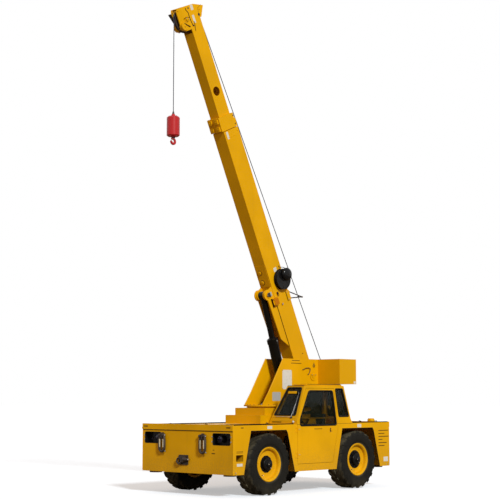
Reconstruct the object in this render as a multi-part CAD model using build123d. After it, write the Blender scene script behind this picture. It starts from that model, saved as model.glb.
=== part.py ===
"""Carry deck crane: a four wheel industrial crane with a three section boom.

Millimetres. +X is forward, +Y is the operator's left, +Z is up. The origin is on the
ground, under the middle of the overall length at rest.
"""
import os
from math import atan2, cos, degrees, hypot, radians, sin, tau

from build123d import *

os.makedirs("parts", exist_ok=True)

# Chassis
WHEELBASE = 2648.0
FRONT_OVERHANG = 1028.0
REAR_OVERHANG = 983.0
BODY_WIDTH = 2440.0
DECK_Z = 1307.0
BODY_Z = 415.0
SKIN = 16.0
DECK_PLATE = 12.0
BUMPER_PLATE = 20.0
SEAM = 0.3
DOOR_GAP = 6.0
LIP_OUT = 12.0
HALF_W = BODY_WIDTH / 2
SKIN_IN = HALF_W - SKIN
WELL_REACH = 715.0
ARCH_TOP = 1207.0

# Wheels and axles
TYRE_R = 575.0
TYRE_W = 400.0
WHEEL_Y = 990.0
RIM_R = 322.0
RIM_BARREL_R = 292.0
RIM_BARREL_WALL = 12.0
RIM_DISC_OUT = 96.0
RIM_DISC_T = 16.0
HUB_R = 118.0
HUB_OUT = 30.0
KINGPIN_Y = 840.0
KINGPIN_R = 24.0
KNUCKLE_HALF_H = 95.0
YOKE_ARM = 42.0
SPINDLE_R = 45.0
SPINDLE_CLEAR = 0.05
AXLE_TUBE_R = 80.0
AXLE_Z = TYRE_R

# Frame rails
RAIL_Y = 440.0
RAIL_T = 20.0
RAIL_Z = 470.0
RAIL_ARCH_Z = 730.0
RAIL_ARCH_HALF = 330.0

# Cab, seen from the side as (x from mid wheelbase, z), and from the front as (y, z)
CAB_WALL = 38.0
CAB_ROOF_Z = 2045.0
CAB_FRONT_X = 590.0
CAB_FOLD_Z = 1377.0
CAB_ROOF_FRONT_X = 375.0
CAB_ROOF_REAR_X = -822.0
CAB_REAR_X = -1090.0
CAB_INNER_Y = 490.0
CAB_ROOF_INNER_Y = 790.0
TUB_HALF = 600.0
TUB_WALL = 14.0
CAB_FLOOR_Z = 560.0
DOOR_T = 40.0
HINGE_R = 10.0
HINGE_OUT = HINGE_R + SEAM
HINGE_PIN_R = 5.0
HINGE_HEIGHTS = (1210.0, 730.0)
HINGE_X = 586.0
HINGE_LEAF = 5.0
HANDLE_OUT = HINGE_OUT + HINGE_R
GLASS_T = 6.0

# Pedestal and turret
SLEW_X = 100.0
TIER_1 = (820.0, 620.0, 475.0, 1470.0)
TIER_2 = (620.0, 420.0, 400.0, 1610.0)
PEDESTAL_WALL = 16.0
BEARING_R = 420.0
BEARING_T = 28.0
BEARING_GAP = 0.3
TABLE_R = 480.0
TABLE_T = 28.0
CHEEK_Y = 250.0
CHEEK_T = 22.0
TURRET_TOP = 2600.0
TAIL_Z = 2088.0
TAIL_X = -1700.0
LOBE_X = -1180.0
LOBE_Y = 830.0
WINCH_WALL_X = -1300.0
WINCH_X = -1520.0
WINCH_Z = 2365.0
DRUM_R = 115.0
DRUM_FLANGE_R = 165.0
DRUM_HALF_W = 170.0

# Boom, drawn level from its pivot: s along it, h above the pivot
PIVOT_X = -1020.0
PIVOT_Z = 2260.0
PIVOT_PIN_R = 45.0
BOOM_REST = 65.0
BASE_W = 300.0
BASE_H = 440.0
BASE_TOP_H = 140.0
BASE_WALL = 10.0
BASE_END_S = 5380.0
FOOT_S = -140.0
SECTION_GAP = 6.0
MID_WALL = 8.0
MID_H = 383.0
MID_START_S = 550.0
COLLAR_GAP = 14.0
COLLAR_LEN = 280.0
TIP_WALL = 8.0
TIP_H = 326.0
TIP_START_S = 2550.0
TIP_TUBE_END_S = 7400.0
HEAD_END_S = 7930.0
HEAD_PLATE = 20.0
SHEAVE_S = 7673.0
SHEAVE_H = -320.0
SHEAVE_R = 236.0
SHEAVE_W = 64.0
ROPE_R = 8.0
SHEAVE_PIN_R = 30.0
LUG_S = 1983.0
LUG_H = -450.0
GUSSET_Y = 142.0
GUSSET_T = 24.0

# Cable reel on the boom's left side
REEL_S = 2145.0
REEL_H = 20.0
REEL_R = 212.0
REEL_WIDTH = 80.0
REEL_GAP = 16.0
REEL_PIN_R = 18.0

# Lift cylinder
CYL_FOOT_X = -420.0
CYL_FOOT_Z = 1820.0
BARREL_R = 108.0
BARREL_BORE = 90.0
BARREL_LEN = 1232.0
ROD_R = 62.0
ROD_EYE_R = 78.0
EYE_HALF_W = 68.0
PISTON_FROM_EYE = 1233.0

# Hoist
HOOK_TOP_Z = 7190.0
WEIGHT_R = 125.0
WEIGHT_H = 430.0

# Outriggers: legs that slide out and down across the bumpers
LEG_ANGLE = 30.0
LEG_SIZE = 110.0
LEG_LEN = 1080.0
LEG_FOOT_Y = 1000.0
LEG_FOOT_Z = 462.0
LEG_CLEAR = 0.8
LEG_TUBE_WALL = 10.0
LEG_TUBE_START = 150.0
PAD_R = 120.0
PAD_Z = 385.0
LEG_FROM_FACE = 150.0

# Engine and hood at the rear right
HOOD_X = (-2240.0, -960.0)
HOOD_Y = (-1150.0, 30.0)
HOOD_Z = 1720.0
HOOD_WALL = 18.0
ENGINE_X = (-2030.0, -1090.0)
ENGINE_Y = (-410.0, 10.0)
ENGINE_Z = (800.0, 1590.0)

FALL_FROM_SHEAVE = SHEAVE_R - 0.3 * ROPE_R + SEAM
SHEAVE_REACH = SHEAVE_S * cos(radians(BOOM_REST)) - SHEAVE_H * sin(radians(BOOM_REST))
FOREMOST = PIVOT_X + SHEAVE_REACH + FALL_FROM_SHEAVE + WEIGHT_R
REARMOST = -WHEELBASE / 2 - REAR_OVERHANG - LIP_OUT
AXLE_MID_X = -(FOREMOST + REARMOST) / 2
FRONT_AXLE_X = AXLE_MID_X + WHEELBASE / 2
REAR_AXLE_X = AXLE_MID_X - WHEELBASE / 2
FRONT_X = FRONT_AXLE_X + FRONT_OVERHANG
REAR_X = REAR_AXLE_X - REAR_OVERHANG

SIDES = (("left", 1), ("right", -1))
CORNERS = (
    ("front_left", 1, 1),
    ("front_right", 1, -1),
    ("rear_left", -1, 1),
    ("rear_right", -1, -1),
)

nodes = {}


def mid(x):
    """A station measured from mid wheelbase, in the part's own frame."""
    return AXLE_MID_X + x


def block(x_pair, y_pair, z_pair):
    """Box between two corners."""
    spans = [sorted(pair) for pair in (x_pair, y_pair, z_pair)]
    size = [high - low for low, high in spans]
    centre = [(high + low) / 2 for low, high in spans]
    return Pos(*centre) * Box(*size)


def outline(points, corner=0.0):
    """Flat face from an outline, with every corner rounded if asked."""
    face = make_face(Polyline(*points, close=True))
    return fillet(face.vertices(), corner) if corner else face


def plate_y(points, y_pair, corner=0.0):
    """Plate from an (x, z) outline, between two y values."""
    low, high = sorted(y_pair)
    plane = Plane(origin=(0, high, 0), x_dir=(1, 0, 0), z_dir=(0, -1, 0))
    return extrude(plane * outline(points, corner), high - low)


def plate_x(points, x_pair, corner=0.0):
    """Plate from a (y, z) outline, between two x values."""
    low, high = sorted(x_pair)
    plane = Plane(origin=(low, 0, 0), x_dir=(0, 1, 0), z_dir=(1, 0, 0))
    return extrude(plane * outline(points, corner), high - low)


def plate_z(points, z_pair, corner=0.0):
    """Plate from an (x, y) outline, between two z values."""
    low, high = sorted(z_pair)
    return extrude(Pos(0, 0, low) * outline(points, corner), high - low)


def round_y(x, z, y_pair, radius):
    """Cylinder along y."""
    low, high = sorted(y_pair)
    return Pos(x, (low + high) / 2, z) * Rot(90, 0, 0) * Cylinder(radius, high - low)


def round_z(x, y, z_pair, radius):
    """Cylinder along z."""
    low, high = sorted(z_pair)
    return Pos(x, y, (low + high) / 2) * Cylinder(radius, high - low)


def round_x(y, z, x_pair, radius):
    """Cylinder along x."""
    low, high = sorted(x_pair)
    return Pos((low + high) / 2, y, z) * Rot(0, 90, 0) * Cylinder(radius, high - low)


def turned_y(profile):
    """Solid of revolution about y from a (radius, y) outline."""
    return revolve(outline(profile), Axis.Y)


def both_sides(shape):
    """The shape and its mirror image across the centre plane."""
    return shape + mirror(shape, Plane.XZ)


def rectangle(a_pair, b_pair):
    """Corner points of a rectangle."""
    return [(a_pair[0], b_pair[0]), (a_pair[1], b_pair[0]), (a_pair[1], b_pair[1]), (a_pair[0], b_pair[1])]


def bar_ring(radius, bar, arc=360.0):
    """Ring or part ring of eight sided bar in the XY plane, from +x round towards +y."""
    section = Plane.XZ * Pos(radius, 0) * RegularPolygon(bar, 8, major_radius=True)
    return revolve(section, Axis.Z, arc)


def straight_bar(start, end, bar, sides=8):
    """Bar from one point to another."""
    a, b = Vector(*start), Vector(*end)
    plane = Plane(origin=a, z_dir=b - a)
    return extrude(plane * RegularPolygon(bar, sides), (b - a).length)


BOOM_FRAME = Pos(PIVOT_X + AXLE_MID_X, 0, PIVOT_Z) * Rot(0, -BOOM_REST, 0)


def boom_point(s, h):
    """Place of a boom point at rest, as (x, z)."""
    a = radians(BOOM_REST)
    return (mid(PIVOT_X) + s * cos(a) - h * sin(a), PIVOT_Z + s * sin(a) + h * cos(a))


LUG_X, LUG_Z = boom_point(LUG_S, LUG_H)
FOOT_PIN_X = mid(CYL_FOOT_X)
CYL_LENGTH = hypot(LUG_X - FOOT_PIN_X, LUG_Z - CYL_FOOT_Z)
CYL_ANGLE = degrees(atan2(LUG_Z - CYL_FOOT_Z, LUG_X - FOOT_PIN_X))
CYL_FRAME = Pos(FOOT_PIN_X, 0, CYL_FOOT_Z) * Rot(0, -CYL_ANGLE, 0)
SHEAVE_X, SHEAVE_Z = boom_point(SHEAVE_S, SHEAVE_H)
FALL_X = SHEAVE_X + FALL_FROM_SHEAVE


def arch_points(axle_x):
    """Wheel arch outline as (x, z), open at the bottom; both arches have the same hand."""
    below = BODY_Z - 50
    return [
        (axle_x + 745, below),
        (axle_x + 550, ARCH_TOP),
        (axle_x - 428, ARCH_TOP),
        (axle_x - 468, ARCH_TOP - 62),
        (axle_x - 680, below),
    ]


def door_points(grow=0.0):
    """Door outline as (x, z)."""
    return [
        (mid(572) + grow, 556 - grow),
        (mid(578) + grow, 1250),
        (mid(546) + grow, 1493),
        (mid(322) + grow, 1990 + grow),
        (mid(-512) - grow, 1990 + grow),
        (mid(-638) - grow, 1250),
        (mid(-470) - grow, 556 - grow),
    ]


DOOR_WINDOW = [
    (mid(245), 1945),
    (mid(-475), 1945),
    (mid(-596), 1275),
    (mid(500), 1275),
    (mid(502), 1400),
]
QUARTER_WINDOW = [
    (mid(-560), 1985),
    (mid(-785), 1985),
    (mid(-978), 1440),
    (mid(-668), 1440),
]
SIDE_HOLE = [(mid(2272), 656), (mid(2272), 773), (mid(2080), 773), (mid(2080), 656)]


def door_hinge(z):
    """Fixed half of a door hinge: its pin, two outer knuckles and leaf."""
    x, y = mid(HINGE_X), HALF_W + HINGE_OUT
    shape = round_z(x, y, (z - 60, z + 60), HINGE_PIN_R)
    for z_pair in ((z - 60, z - 20 - SEAM), (z + 20 + SEAM, z + 60)):
        shape += round_z(x, y, z_pair, HINGE_R)
        shape += block((x, x + 60), (HALF_W, HALF_W + HINGE_LEAF), z_pair)
    return shape


def side_panels():
    """Left and right skins with their wheel arches and the square hole near the front."""
    result = None
    for side, sign in SIDES:
        y_pair = (sign * SKIN_IN, sign * HALF_W)
        skin = plate_y(rectangle((REAR_X + BUMPER_PLATE, FRONT_X - BUMPER_PLATE), (BODY_Z, DECK_Z)), y_pair)
        for axle_x in (FRONT_AXLE_X, REAR_AXLE_X):
            skin -= plate_y(arch_points(axle_x), (sign * (SKIN_IN - 5), sign * (HALF_W + 5)))
        skin -= plate_y(SIDE_HOLE, (sign * (SKIN_IN - 5), sign * (HALF_W + 5)), 12)
        if side == "left":
            skin -= plate_y(door_points(DOOR_GAP), (SKIN_IN - 5, HALF_W + 5))
        if side == "left":
            for z in HINGE_HEIGHTS:
                skin += door_hinge(z)
        if side == "right":
            skin += block((mid(-40), mid(40)), (-HALF_W - HANDLE_OUT, -HALF_W), (1160, 1210))
        result = skin if result is None else result + skin
    return result


def deck_plate():
    """Top plate, cut for the cab tub and the engine."""
    edge = SKIN_IN
    plate = block((REAR_X + BUMPER_PLATE, FRONT_X - BUMPER_PLATE), (-edge, edge), (DECK_Z - DECK_PLATE, DECK_Z))
    plate -= block((mid(-TUB_HALF), mid(TUB_HALF)), (CAB_INNER_Y + 10, edge + 5), (DECK_Z - 50, DECK_Z + 50))
    door_edge = (mid(-TUB_HALF) + 5, mid(-TUB_HALF) - 60)
    plate -= block(door_edge, (HALF_W - DOOR_T - 8, edge + 5), (DECK_Z - 50, DECK_Z + 50))
    plate -= block(
        (mid(ENGINE_X[0] - 25), mid(ENGINE_X[1] + 25)),
        (ENGINE_Y[0] - 25, ENGINE_Y[1] + 15),
        (DECK_Z - 50, DECK_Z + 50),
    )
    return plate


LAMP_WINDOW_Y = (705.0, 1150.0)
LAMP_WINDOW_Z = (950.0, 1158.0)
LIP_Z = 1207.0
LAMP_RECESS = 90.0


def leg_frame(end, sign):
    """Frame of one outrigger leg: x runs from its foot up and inwards."""
    if end > 0:
        x = FRONT_X - LEG_FROM_FACE
    else:
        x = REAR_X + LEG_FROM_FACE
    turn = LEG_ANGLE if sign > 0 else 180 - LEG_ANGLE
    plane = Plane(
        origin=(x, sign * LEG_FOOT_Y, LEG_FOOT_Z),
        x_dir=(0, -sign * cos(radians(LEG_ANGLE)), sin(radians(LEG_ANGLE))),
        z_dir=(1, 0, 0),
    )
    return plane.location


def leg_tubes(end):
    """The two inclined guide tubes of one bumper."""
    inner = LEG_SIZE + 2 * LEG_CLEAR
    outer = inner + 2 * LEG_TUBE_WALL
    length = LEG_LEN - LEG_TUBE_START
    result = None
    for side, sign in SIDES:
        centre = Pos(LEG_TUBE_START + length / 2, 0, 0)
        tube = centre * Box(length, outer, outer) - centre * Box(length + 2, inner, inner)
        tube = leg_frame(end, sign) * tube
        result = tube if result is None else result + tube
    return result


def bumper(end):
    """Box across one end: outer plate, inner wall, lip beam and guide tubes."""
    face = FRONT_X if end > 0 else REAR_X
    inner = FRONT_AXLE_X + WELL_REACH + 20 if end > 0 else REAR_AXLE_X - WELL_REACH - 20
    plate_back = face - end * BUMPER_PLATE
    body = plate_x(rectangle((-HALF_W, HALF_W), (BODY_Z, LIP_Z)), (face, plate_back))
    lip = block((face + end * LIP_OUT, plate_back), (-HALF_W, HALF_W), (LIP_Z, DECK_Z + 10))
    wall = block((inner, inner + end * SKIN), (-SKIN_IN, SKIN_IN), (BODY_Z + 15, DECK_Z - DECK_PLATE))
    body = body + lip + wall
    ribs = block((inner + end * SKIN, plate_back), (RAIL_Y - RAIL_T, RAIL_Y), (BODY_Z + 300, DECK_Z - DECK_PLATE))
    body += both_sides(ribs)
    for side, sign in SIDES:
        window = [(sign * a, b) for a, b in rectangle(LAMP_WINDOW_Y, LAMP_WINDOW_Z)]
        body -= plate_x(window, (face + end * 5, plate_back - end * 5), 28)
    for side, sign in SIDES:
        clear = LEG_SIZE + 2 * LEG_CLEAR
        body -= leg_frame(end, sign) * Pos(LEG_LEN / 2, 0, 0) * Box(LEG_LEN + 600, clear, clear)
    body += leg_tubes(end)
    return body


def main_frame():
    """Two deep rails, arched over the axles, and their cross members."""
    x_front = FRONT_AXLE_X + WELL_REACH + 20
    x_rear = REAR_AXLE_X - WELL_REACH - 20
    top = DECK_Z - DECK_PLATE
    rail = plate_y(rectangle((x_rear, x_front), (RAIL_Z, top)), (RAIL_Y - RAIL_T, RAIL_Y))
    for axle_x in (FRONT_AXLE_X, REAR_AXLE_X):
        arch = [
            (axle_x - RAIL_ARCH_HALF - 110, RAIL_Z - 20),
            (axle_x - RAIL_ARCH_HALF, RAIL_ARCH_Z),
            (axle_x + RAIL_ARCH_HALF, RAIL_ARCH_Z),
            (axle_x + RAIL_ARCH_HALF + 110, RAIL_Z - 20),
        ]
        rail -= plate_y(arch, (RAIL_Y - RAIL_T - 5, RAIL_Y + 5))
    frame = both_sides(rail)
    half = RAIL_Y - RAIL_T
    for station, low in ((1750, 760), (620, 560), (-600, 560)):
        frame += block((mid(station) - 12, mid(station) + 12), (-half, half), (low, top))
    frame += block((mid(-560), mid(600)), (-half, half), (RAIL_Z, RAIL_Z + 16))
    frame -= round_x(DIFF_Y, AXLE_Z, (mid(-700), mid(700)), SHAFT_R + SHAFT_CLEAR)
    box_y = (DIFF_Y - 150, DIFF_Y + 150)
    gearbox = block((mid(-GEARBOX_HALF), mid(GEARBOX_HALF)), box_y, (RAIL_Z + 16, AXLE_Z + 230))
    gearbox = chamfer(gearbox.edges().filter_by(Axis.X), 40)
    gearbox += round_x(DIFF_Y, AXLE_Z, (mid(-GEARBOX_HALF) - 30 + SEAM, mid(GEARBOX_HALF) + 30 - SEAM), 70)
    frame += gearbox
    for station in (ENGINE_X[0] + 60, ENGINE_X[1] - 60):
        frame += block((mid(station) - 30, mid(station) + 30), (-half, half), (ENGINE_Z[0] - 60, ENGINE_Z[0] - SEAM))
    return frame


def pedestal():
    """Two stepped tiers under the turret, with the fixed ring of the slewing bearing."""
    z = DECK_Z
    result = None
    for front, rear, half, top in (TIER_1, TIER_2):
        tier = block((mid(front), mid(-rear)), (-half, half), (z, top))
        result = tier if result is None else result + tier
        z = top
    wall = PEDESTAL_WALL
    z = DECK_Z - 5
    for front, rear, half, top in (TIER_1, TIER_2):
        inner = (half - wall, wall - half)
        result -= block((mid(front) - wall, mid(-rear) + wall), inner, (z, top - wall))
        z = top - wall - 5
    ring = round_z(mid(SLEW_X), 0, (TIER_2[3], TIER_2[3] + BEARING_T), BEARING_R)
    return result + ring


DIFF_Y = 60.0
DIFF_R = 205.0
SHAFT_R = 38.0
SHAFT_CLEAR = 30.0
GEARBOX_HALF = 190.0
STEER_CYL_X = 210.0
STEER_CYL_Z = 600.0


def axle(axle_x, end):
    """Drive axle: differential, drive shaft, steering cylinder, trunnions and kingpin yokes."""
    yoke_in = KINGPIN_Y - 85
    shape = round_y(axle_x, AXLE_Z, (-yoke_in - 5, yoke_in + 5), AXLE_TUBE_R)
    shape += Pos(axle_x, DIFF_Y, AXLE_Z) * Sphere(DIFF_R)
    shape += Pos(axle_x - end * 170, DIFF_Y, AXLE_Z) * Rot(0, end * 90, 0) * Cone(62, 110, 200)
    shaft = (axle_x - end * 265, mid(end * (GEARBOX_HALF + 30)))
    shape += round_x(DIFF_Y, AXLE_Z, shaft, SHAFT_R)
    shape += round_x(DIFF_Y, AXLE_Z, (axle_x - end * 265, axle_x - end * 305), 62)
    shape += round_x(DIFF_Y, AXLE_Z, (shaft[1], shaft[1] + end * 40), 62)
    steer_x = axle_x + end * STEER_CYL_X
    shape += round_y(steer_x, STEER_CYL_Z, (-330, 90), 42)
    shape += round_y(steer_x, STEER_CYL_Z, (-520, 280), 20)
    for y in (-300, 50):
        shape += block((axle_x, steer_x), (y, y + 30), (STEER_CYL_Z - 30, STEER_CYL_Z + 30))
    for side, sign in SIDES:
        mount_top = RAIL_ARCH_Z
        y_pair = (sign * (RAIL_Y - 70), sign * (RAIL_Y + 30))
        shape += block((axle_x - 95, axle_x + 95), y_pair, (AXLE_Z + 40, mount_top))
        arm_low = AXLE_Z - KNUCKLE_HALF_H - YOKE_ARM
        arm_high = AXLE_Z + KNUCKLE_HALF_H + YOKE_ARM
        back = block((axle_x - 62, axle_x + 62), (sign * (yoke_in - 30), sign * (yoke_in + 5)), (arm_low, arm_high))
        arms = None
        for z_pair in ((arm_low, AXLE_Z - KNUCKLE_HALF_H - 2), (AXLE_Z + KNUCKLE_HALF_H + 2, arm_high)):
            arm = block((axle_x - 62, axle_x + 62), (sign * yoke_in, sign * KINGPIN_Y), z_pair)
            arm += round_z(axle_x, sign * KINGPIN_Y, z_pair, 62)
            arms = arm if arms is None else arms + arm
        shape += back + arms
        shape -= round_z(axle_x, sign * KINGPIN_Y, (arm_low - 5, arm_high + 5), KINGPIN_R + SPINDLE_CLEAR)
    return shape


def knuckle(axle_x, sign):
    """Steering knuckle: barrel on its kingpin, spindle and steering arm."""
    y = sign * KINGPIN_Y
    shape = round_z(axle_x, y, (AXLE_Z - KNUCKLE_HALF_H, AXLE_Z + KNUCKLE_HALF_H), 58)
    reach = KNUCKLE_HALF_H + YOKE_ARM
    shape += round_z(axle_x, y, (AXLE_Z - reach, AXLE_Z + reach), KINGPIN_R)
    disc_in = WHEEL_Y + RIM_DISC_OUT - RIM_DISC_T
    shape += round_y(axle_x, AXLE_Z, (y + sign * 30, sign * (disc_in - 40)), 78)
    shape += round_y(axle_x, AXLE_Z, (y, sign * (disc_in + 55)), SPINDLE_R)
    return shape


LUGS_PER_SIDE = 20
LUG_LEAN = 2
LUG_TAPER = 0.012
LUG_DEPTH = 28.0
LUG_END_IN = 28.0
SHOULDER_IN = 34.0
SHOULDER_DROP = 45.0


def tyre():
    """Tyre about its own centre, axis y: a faceted carcass with chevron lugs on its tread.

    Lugs of the two sides alternate round the crown. Each leans back from the crown to its
    shoulder, and its flat top lies at the rolling radius.
    """
    half = TYRE_W / 2 - 1.0
    step = tau / (2 * LUGS_PER_SIDE)
    top = TYRE_R / cos(step / 2 - LUG_TAPER)
    lean = LUG_LEAN * step
    flats = 1 / cos(step / 2)
    wall = (
        ((RIM_BARREL_R + SEAM) * flats, 148.0),
        ((RIM_R + 12) * flats, 164.0),
        (RIM_R + 83, half),
        (TYRE_R - 88, half - 1.0),
    )
    corners = {}

    def corner(key, radius, y, angle):
        corners[key] = Vector(radius * cos(angle), y, radius * sin(angle))

    count = 2 * LUGS_PER_SIDE
    for i in range(count):
        angle = -tau / 4 - step / 2 + i * step
        corner(("crown", i), TYRE_R - LUG_DEPTH, 0.0, angle)
        corner(("crown start", i), top, 0.0, angle + LUG_TAPER)
        corner(("crown end", i), top, 0.0, angle - LUG_TAPER)
        for side in (1, -1):
            back = angle + lean
            for row, (radius, y) in enumerate(wall):
                corner(("wall", side, row, i), radius, side * y, back)
            corner(("shoulder", side, i), TYRE_R - SHOULDER_DROP, side * (half - SHOULDER_IN + 1.0), back)
            corner(("lug start", side, i), top, side * (half - LUG_END_IN + 1.0), back + LUG_TAPER)
            corner(("lug end", side, i), top, side * (half - LUG_END_IN + 1.0), back - LUG_TAPER)

    faces = []

    def flat(*keys):
        faces.append(Face(Wire.make_polygon([corners[key] for key in keys], close=True)))

    def folded(a, b, c, d):
        flat(a, b, c)
        flat(a, c, d)

    for i in range(count):
        j = (i + 1) % count
        flat(("wall", 1, 0, i), ("wall", 1, 0, j), ("wall", -1, 0, j), ("wall", -1, 0, i))
        for side in (1, -1):
            for row in range(len(wall) - 1):
                low, high = ("wall", side, row), ("wall", side, row + 1)
                flat((*low, i), (*high, i), (*high, j), (*low, j))
            rim_i, rim_j = ("wall", side, 3, i), ("wall", side, 3, j)
            if (i % 2 == 0) == (side > 0):
                start, end = ("lug start", side, i), ("lug end", side, j)
                crown_start, crown_end = ("crown start", i), ("crown end", j)
                folded(rim_i, start, end, rim_j)
                folded(start, crown_start, crown_end, end)
                for k, tip, head in ((i, start, crown_start), (j, end, crown_end)):
                    flat(("wall", side, 3, k), ("shoulder", side, k), tip)
                    flat(("shoulder", side, k), ("crown", k), tip)
                    flat(("crown", k), head, tip)
            else:
                low_i, low_j = ("shoulder", side, i), ("shoulder", side, j)
                flat(rim_i, low_i, low_j, rim_j)
                folded(low_i, ("crown", i), ("crown", j), low_j)
        folded(("crown start", i), ("crown end", j), ("crown", j), ("crown", i))
    return Solid(Shell(faces))


def rim():
    """Deep dished rim with its hub, about its own centre; +y is the outer side."""
    w = TYRE_W / 2
    wall = RIM_BARREL_R - RIM_BARREL_WALL
    disc = RIM_DISC_OUT
    profile = [
        (wall, -w * 0.86),
        (RIM_R, -w * 0.86),
        (RIM_R, -w * 0.83),
        (RIM_BARREL_R, -w * 0.76),
        (RIM_BARREL_R, w * 0.76),
        (RIM_R, w * 0.83),
        (RIM_R, w * 0.88),
        (wall, w * 0.80),
        (wall - 10, disc + 12),
        (215, disc),
        (SPINDLE_R + 20, disc),
        (SPINDLE_R + 20, disc - RIM_DISC_T),
        (205, disc - RIM_DISC_T),
        (wall - 20, disc - 8),
    ]
    shape = turned_y(profile)
    hub = [
        (0, disc + 60),
        (0, disc + HUB_OUT + 52),
        (58, disc + HUB_OUT + 52),
        (70, disc + HUB_OUT + 36),
        (HUB_R - 8, disc + HUB_OUT + 30),
        (HUB_R, disc + HUB_OUT + 22),
        (HUB_R, disc),
        (HUB_R, disc - RIM_DISC_T - 26),
        (SPINDLE_R + SPINDLE_CLEAR, disc - RIM_DISC_T - 26),
        (SPINDLE_R + SPINDLE_CLEAR, disc + 60),
    ]
    return shape + turned_y(hub)


def cab_volume(inset):
    """Outer form of the upper cab, moved inwards by inset; it runs down past the deck."""
    side = [
        (mid(CAB_FRONT_X + 10), DECK_Z - 80),
        (mid(CAB_FRONT_X), CAB_FOLD_Z),
        (mid(CAB_ROOF_FRONT_X), CAB_ROOF_Z),
        (mid(CAB_ROOF_REAR_X), CAB_ROOF_Z),
        (mid(CAB_REAR_X + 50), 1393),
        (mid(CAB_REAR_X), 1325),
        (mid(CAB_REAR_X), DECK_Z - 80),
    ]
    slope = (CAB_ROOF_INNER_Y - CAB_INNER_Y) / (CAB_ROOF_Z - DECK_Z)
    section = [
        (CAB_INNER_Y - 80 * slope, DECK_Z - 80),
        (HALF_W, DECK_Z - 80),
        (HALF_W, CAB_ROOF_Z),
        (CAB_ROOF_INNER_Y, CAB_ROOF_Z),
    ]
    side_face = outline(side)
    section_face = outline(section)
    if inset:
        side_face = offset(side_face, -inset, kind=Kind.INTERSECTION)
        section_face = offset(section_face, -inset, kind=Kind.INTERSECTION)
    side_plane = Plane(origin=(0, HALF_W + 50, 0), x_dir=(1, 0, 0), z_dir=(0, -1, 0))
    section_plane = Plane(origin=(mid(CAB_REAR_X) - 50, 0, 0), x_dir=(0, 1, 0), z_dir=(1, 0, 0))
    depth = extrude(side_plane * side_face, 1200)
    length = extrude(section_plane * section_face, CAB_FRONT_X - CAB_REAR_X + 200)
    return depth & length


def window_cutters():
    """Prisms through the cab walls: name and solid."""
    front = mid(CAB_FRONT_X)
    rear = mid(CAB_REAR_X)
    windscreen = [(600, 1475), (1150, 1475), (1170, 2003), (815, 2003)]
    back = [(640, 1440), (1150, 1440), (1150, 1975), (815, 1975)]
    inner = [(mid(300), 1960), (mid(-700), 1960), (mid(-880), 1480), (mid(430), 1480)]
    return {
        "windscreen": plate_x(windscreen, (front - 330, front + 60), 30),
        "rear": plate_x(back, (rear - 60, rear + 330), 30),
        "quarter": plate_y(QUARTER_WINDOW, (HALF_W - 60, HALF_W + 60), 30),
        "inner": plate_y(inner, (CAB_INNER_Y - 60, CAB_ROOF_INNER_Y + 60), 30),
    }


POST_X = -552.0
POST_Y = 950.0
POST_R = 22.0


def cab_shell():
    """Hollow cab with its windows and door opening, and the tub below the deck."""
    above = block((mid(-2000), mid(2000)), (-3000, 3000), (DECK_Z, 3000))
    shell = (cab_volume(0) - cab_volume(CAB_WALL)) & above
    for name, cutter in window_cutters().items():
        shell -= cutter
    shell -= plate_y(door_points(DOOR_GAP), (HALF_W - CAB_WALL - 20, HALF_W + 5))
    tub = block((mid(-TUB_HALF), mid(TUB_HALF)), (CAB_INNER_Y + 10, SKIN_IN), (BODY_Z, DECK_Z))
    inside = block(
        (mid(-TUB_HALF) + TUB_WALL, mid(TUB_HALF) - TUB_WALL),
        (CAB_INNER_Y + 10 + TUB_WALL, SKIN_IN + 5),
        (CAB_FLOOR_Z, DECK_Z + 5),
    )
    tub -= inside
    tub -= plate_y(door_points(DOOR_GAP), (HALF_W - CAB_WALL - 20, HALF_W + 5))
    post = round_z(mid(POST_X), POST_Y, (CAB_FLOOR_Z - 5, CAB_ROOF_Z - CAB_WALL + 5), POST_R)
    return shell + tub + post


def cab_glass():
    """Panes in the middle of the cab's walls."""
    layer = cab_volume(CAB_WALL / 2 - GLASS_T / 2) - cab_volume(CAB_WALL / 2 + GLASS_T / 2)
    result = None
    for name, cutter in window_cutters().items():
        pane = layer & cutter
        result = pane if result is None else result + pane
    return result


RAIL_OUT = 22.0
GRAB_Z = 1415.0


def cab_door():
    """Door leaf with its window cut, hinge knuckles and handle."""
    leaf = plate_y(door_points(), (HALF_W - DOOR_T, HALF_W))
    leaf -= plate_y(DOOR_WINDOW, (HALF_W - DOOR_T - 5, HALF_W + 5), 50)
    leaf += block((mid(-455), mid(-395)), (HALF_W, HALF_W + HANDLE_OUT), (1165, 1205))
    x, y = mid(HINGE_X), HALF_W + HINGE_OUT
    for z in HINGE_HEIGHTS:
        z_pair = (z - 20, z + 20)
        knuckle_half = round_z(x, y, z_pair, HINGE_R)
        knuckle_half += block((x - 85, x), (HALF_W, HALF_W + HINGE_LEAF), z_pair)
        leaf += knuckle_half - round_z(x, y, (z - 25, z + 25), HINGE_PIN_R + SPINDLE_CLEAR)
    rail_y = HALF_W - DOOR_T - RAIL_OUT
    leaf += round_x(rail_y, GRAB_Z, (mid(-594), mid(528)), 9)
    for end_x in (mid(-594), mid(506)):
        leaf += block((end_x, end_x + 22), (rail_y, HALF_W - DOOR_T), (GRAB_Z - 12, GRAB_Z + 12))
    return leaf


def door_glass():
    """Pane of the door."""
    middle = HALF_W - DOOR_T / 2
    return plate_y(DOOR_WINDOW, (middle - GLASS_T / 2, middle + GLASS_T / 2), 50)


SEAT_Z = 900.0
SEAT_PAD = 100.0
SEAT_RAKE = 10.0
SHEET = 10.0
LEVER_Y = 605.0
LEVER_Z = 1080.0
STEER_TILT = Pos(mid(218), 880, 1335) * Rot(0, -38, 0)


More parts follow.
